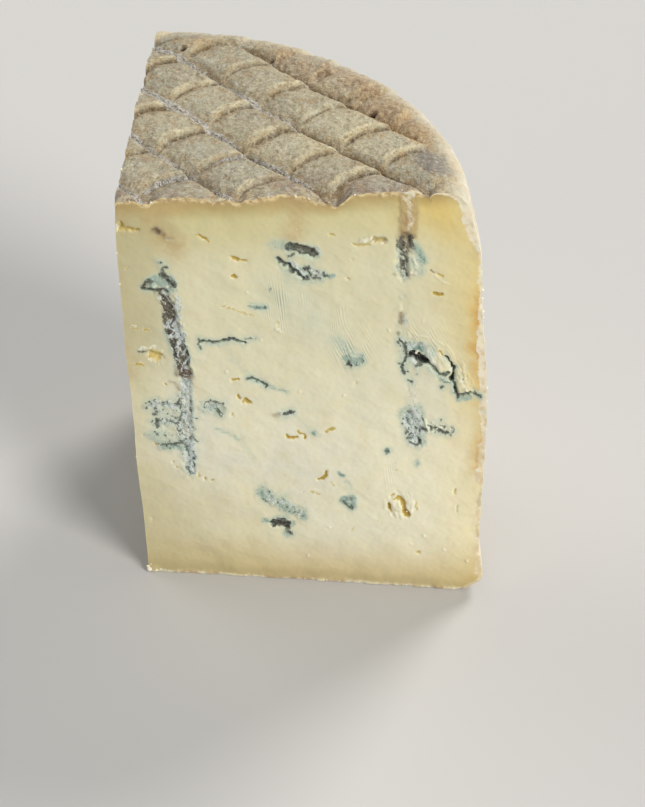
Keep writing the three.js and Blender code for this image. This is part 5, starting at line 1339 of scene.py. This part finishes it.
def crumbs():
    rng = np.random.default_rng(7)
    spots = []                                   # centre, radius, stretch
    tree_pts = P

    def surface(p):
        return tree_pts[np.argmin(((tree_pts - np.asarray(p)) ** 2).sum(1))]
    for zz, r in ((109.5, .42), (106.2, .38), (102.4, .5), (101.2, .34), (76.8, .4), (70.5, .33), (94, .3), (61, .34), (52.6, .3), (44, .3)):
        a = rng.uniform(.0, .035)
        q = reach(a, np.interp(-zz, -PRZ[:, 1], PRZ[:, 0]))
        spots.append((surface((q * math.cos(a), q * math.sin(a), zz)), r))
    for zz, r in ((107.5, .38), (1.6, .8), (.9, .5), (46, .25), (118, .25)):
        spots.append((surface((0.0, 0.0, zz)), r))
    for _ in range(26):                          # along the crest and the base of both cuts
        t = rng.uniform(2, 96)
        side = rng.random() < .6
        low = rng.random() < .5
        px_, py_ = (t, 0.0) if side else (t * cosw, t * sinw)
        zz = .4 if low else float(top_z(px_, py_))
        spots.append((surface((px_, py_, zz)), rng.uniform(.18, .38)))
    for q, r in (((79.5, 0, 29.5), .35), ((76, 0, 35), .3), ((7, 0, 82.5), .4), ((9, 0, 80.6), .3), ((81.5, 0, 88.6), .5), ((84.3, 0, 87.0), .3), ((92.5, 0, 80), .3), ((88, 0, 61.5), .3), ((25, 0, 66), .25),
                 ((.8, 0, 1.0), .9), ((2.2, 0, .8), .6), ((3.8, 0, .7), .42), ((6.4, 0, .5), .34), ((1.0, 0, 2.5), .3)):
        spots.append((surface(q), r))
    V, T = [], []
    n = 0
    phi = (1 + 5 ** .5) / 2
    ico = np.array([(-1, phi, 0), (1, phi, 0), (-1, -phi, 0), (1, -phi, 0), (0, -1, phi), (0, 1, phi), (0, -1, -phi), (0, 1, -phi), (phi, 0, -1), (phi, 0, 1), (-phi, 0, -1), (-phi, 0, 1)], float)
    ico /= np.linalg.norm(ico, axis=1, keepdims=True)
    tris = [(0, 11, 5), (0, 5, 1), (0, 1, 7), (0, 7, 10), (0, 10, 11), (1, 5, 9), (5, 11, 4), (11, 10, 2), (10, 7, 6), (7, 1, 8), (3, 9, 4), (3, 4, 2), (3, 2, 6), (3, 6, 8), (3, 8, 9), (4, 9, 5), (2, 4, 11), (6, 2, 10), (8, 6, 7), (9, 8, 1)]
    verts, cache = [tuple(v) for v in ico], {}
    for _ in range(2):
        new = []

        def midp(a, b):
            k = (min(a, b), max(a, b))
            if k not in cache:
                m = (np.array(verts[a]) + np.array(verts[b])) / 2
                verts.append(tuple(m / np.linalg.norm(m)))
                cache[k] = len(verts) - 1
            return cache[k]
        for a, b, c in tris:
            ab, bc, ca = midp(a, b), midp(b, c), midp(c, a)
            new += [(a, ab, ca), (b, bc, ab), (c, ca, bc), (ab, bc, ca)]
        tris = new
        cache = {}
    sph, tr = np.array(verts), np.array(tris)
    for i, (c, r) in enumerate(spots):
        s = sph * (1 + .38 * fbm(sph[:, 0], sph[:, 1], sph[:, 2], .9, 3, 200 + i))[:, None]
        q = rng.normal(size=4)
        q /= np.linalg.norm(q)
        w_, a_, b_, c_ = q
        rot = np.array([[1 - 2 * (b_ * b_ + c_ * c_), 2 * (a_ * b_ - c_ * w_), 2 * (a_ * c_ + b_ * w_)], [2 * (a_ * b_ + c_ * w_), 1 - 2 * (a_ * a_ + c_ * c_), 2 * (b_ * c_ - a_ * w_)], [2 * (a_ * c_ - b_ * w_), 2 * (b_ * c_ + a_ * w_), 1 - 2 * (a_ * a_ + b_ * b_)]])
        s = (s * np.array([1.0, rng.uniform(.6, 1.0), rng.uniform(.5, .9)])) @ rot.T * r
        pt = s + c
        pt[:, 2] = np.maximum(pt[:, 2], .02)
        V.append(pt)
        T.append(tr + n)
        n += len(pt)
    V, T = np.concatenate(V), np.concatenate(T)
    cm = bpy.data.meshes.new("crumbs")
    cm.from_pydata(((V + TIP) * .001).tolist(), [], T.tolist())
    cm.polygons.foreach_set("use_smooth", np.ones(len(T), bool))
    cm.update()
    g = Nodes("cheese_crumb")
    n1, n2 = g.noise(.9, 3, w=.5), g.noise(3.0, 3, w=.8)
    g.put(g.bsdf.inputs["Base Color"], g.mix(g.remap(n1, .4, .65), lin(238, 233, 214), lin(226, 213, 176)))
    g.put(g.bsdf.inputs["Roughness"], g.remap(n2, .3, .7, .5, .75))
    g.bsdf.inputs["Subsurface Weight"].default_value = 0.2
    g.bsdf.inputs["Subsurface Radius"].default_value = (1.0, .62, .3)
    g.bsdf.inputs["Subsurface Scale"].default_value = 0.001
    g.put(g.bsdf.inputs["Normal"], g.bump(n2, .5, .2))
    cm.materials.append(g.mat)
    ob = bpy.data.objects.new("crumbs", cm)
    bpy.context.collection.objects.link(ob)
    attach(ob, "root")
    return ob


crumbs()

# ---------------------------------------------------------------------------
# Floor, light, camera
# ---------------------------------------------------------------------------
bpy.ops.mesh.primitive_plane_add(size=40.0, location=(0, 0, -0.0002))
floor = bpy.context.active_object
floor.name = "floor"
fm = Nodes("floor_pale")
fm.bsdf.inputs["Base Color"].default_value = lin(198, 196, 192)
fm.bsdf.inputs["Roughness"].default_value = 1.0
fm.bsdf.inputs["Specular IOR Level"].default_value = 0.0
floor.data.materials.append(fm.mat)

world_ = bpy.data.worlds.new("studio")
bpy.context.scene.world = world_
world_.use_nodes = True
wt = world_.node_tree
bg = wt.nodes["Background"]
# pale at the horizon like the floor, greyer overhead
where, part, rise, blend = (wt.nodes.new(n) for n in ("ShaderNodeTexCoord", "ShaderNodeSeparateXYZ", "ShaderNodeMapRange", "ShaderNodeMix"))
rise.interpolation_type = "SMOOTHSTEP"
rise.inputs[1].default_value, rise.inputs[2].default_value = 0.01, 0.26
blend.data_type = "RGBA"
blend.inputs[6].default_value = (0.66, 0.655, 0.64, 1)
blend.inputs[7].default_value = (0.262, 0.271, 0.291, 1)
for a_, b_ in ((where.outputs["Generated"], part.inputs[0]), (part.outputs[2], rise.inputs[0]), (rise.outputs[0], blend.inputs[0]), (blend.outputs[2], bg.inputs[0])):
    wt.links.new(a_, b_)
bg.inputs[1].default_value = 1.0


def lamp(name, loc, target, angle, strength, color):
    """A soft studio light, far off: its angle is how wide it looks from the cheese."""
    li = bpy.data.lights.new(name, "SUN")
    li.angle = math.radians(angle)
    li.energy = strength
    li.color = color
    ob = bpy.data.objects.new(name, li)
    ob.location = loc
    ob.rotation_euler = (Vector(target) - Vector(loc)).to_track_quat("-Z", "Y").to_euler()
    bpy.context.collection.objects.link(ob)


lamp("key", (1.10, -0.92, 0.95), (0, 0, 0.06), 24.1, 2.52, (0.995, 0.978, 0.95))
lamp("fill", (-0.8, -1.5, 0.9), (0, 0, 0.07), 35.2, 0.178, (0.93, 0.96, 1.0))
lamp("back", (0.92, 1.36, 1.58), (0, 0, 0.1), 23.0, 1.89, (1.0, 0.98, 0.95))
lamp("left", (-1.5, 0.9, 1.1), (0, 0, 0.07), 35.5, 0.695, (0.97, 0.98, 1.0))

cam_data = bpy.data.cameras.new("camera")
cam = bpy.data.objects.new("camera", cam_data)
bpy.context.collection.objects.link(cam)
cam_data.sensor_fit = "AUTO"
cam_data.sensor_width = 36.0
cam_data.lens = CAM_F / 807.0 * 36.0
cam_data.clip_start, cam_data.clip_end = 0.01, 20.0
rot = Matrix((CAM_RIGHT.tolist(), CAM_UP.tolist(), _back.tolist())).transposed()
cam.matrix_world = Matrix.Translation(((CAM_POS + TIP) * .001).tolist()) @ rot.to_4x4()
bpy.context.scene.camera = cam
bpy.context.scene.view_settings.view_transform = "Standard"
bpy.context.scene.view_settings.look = "None"
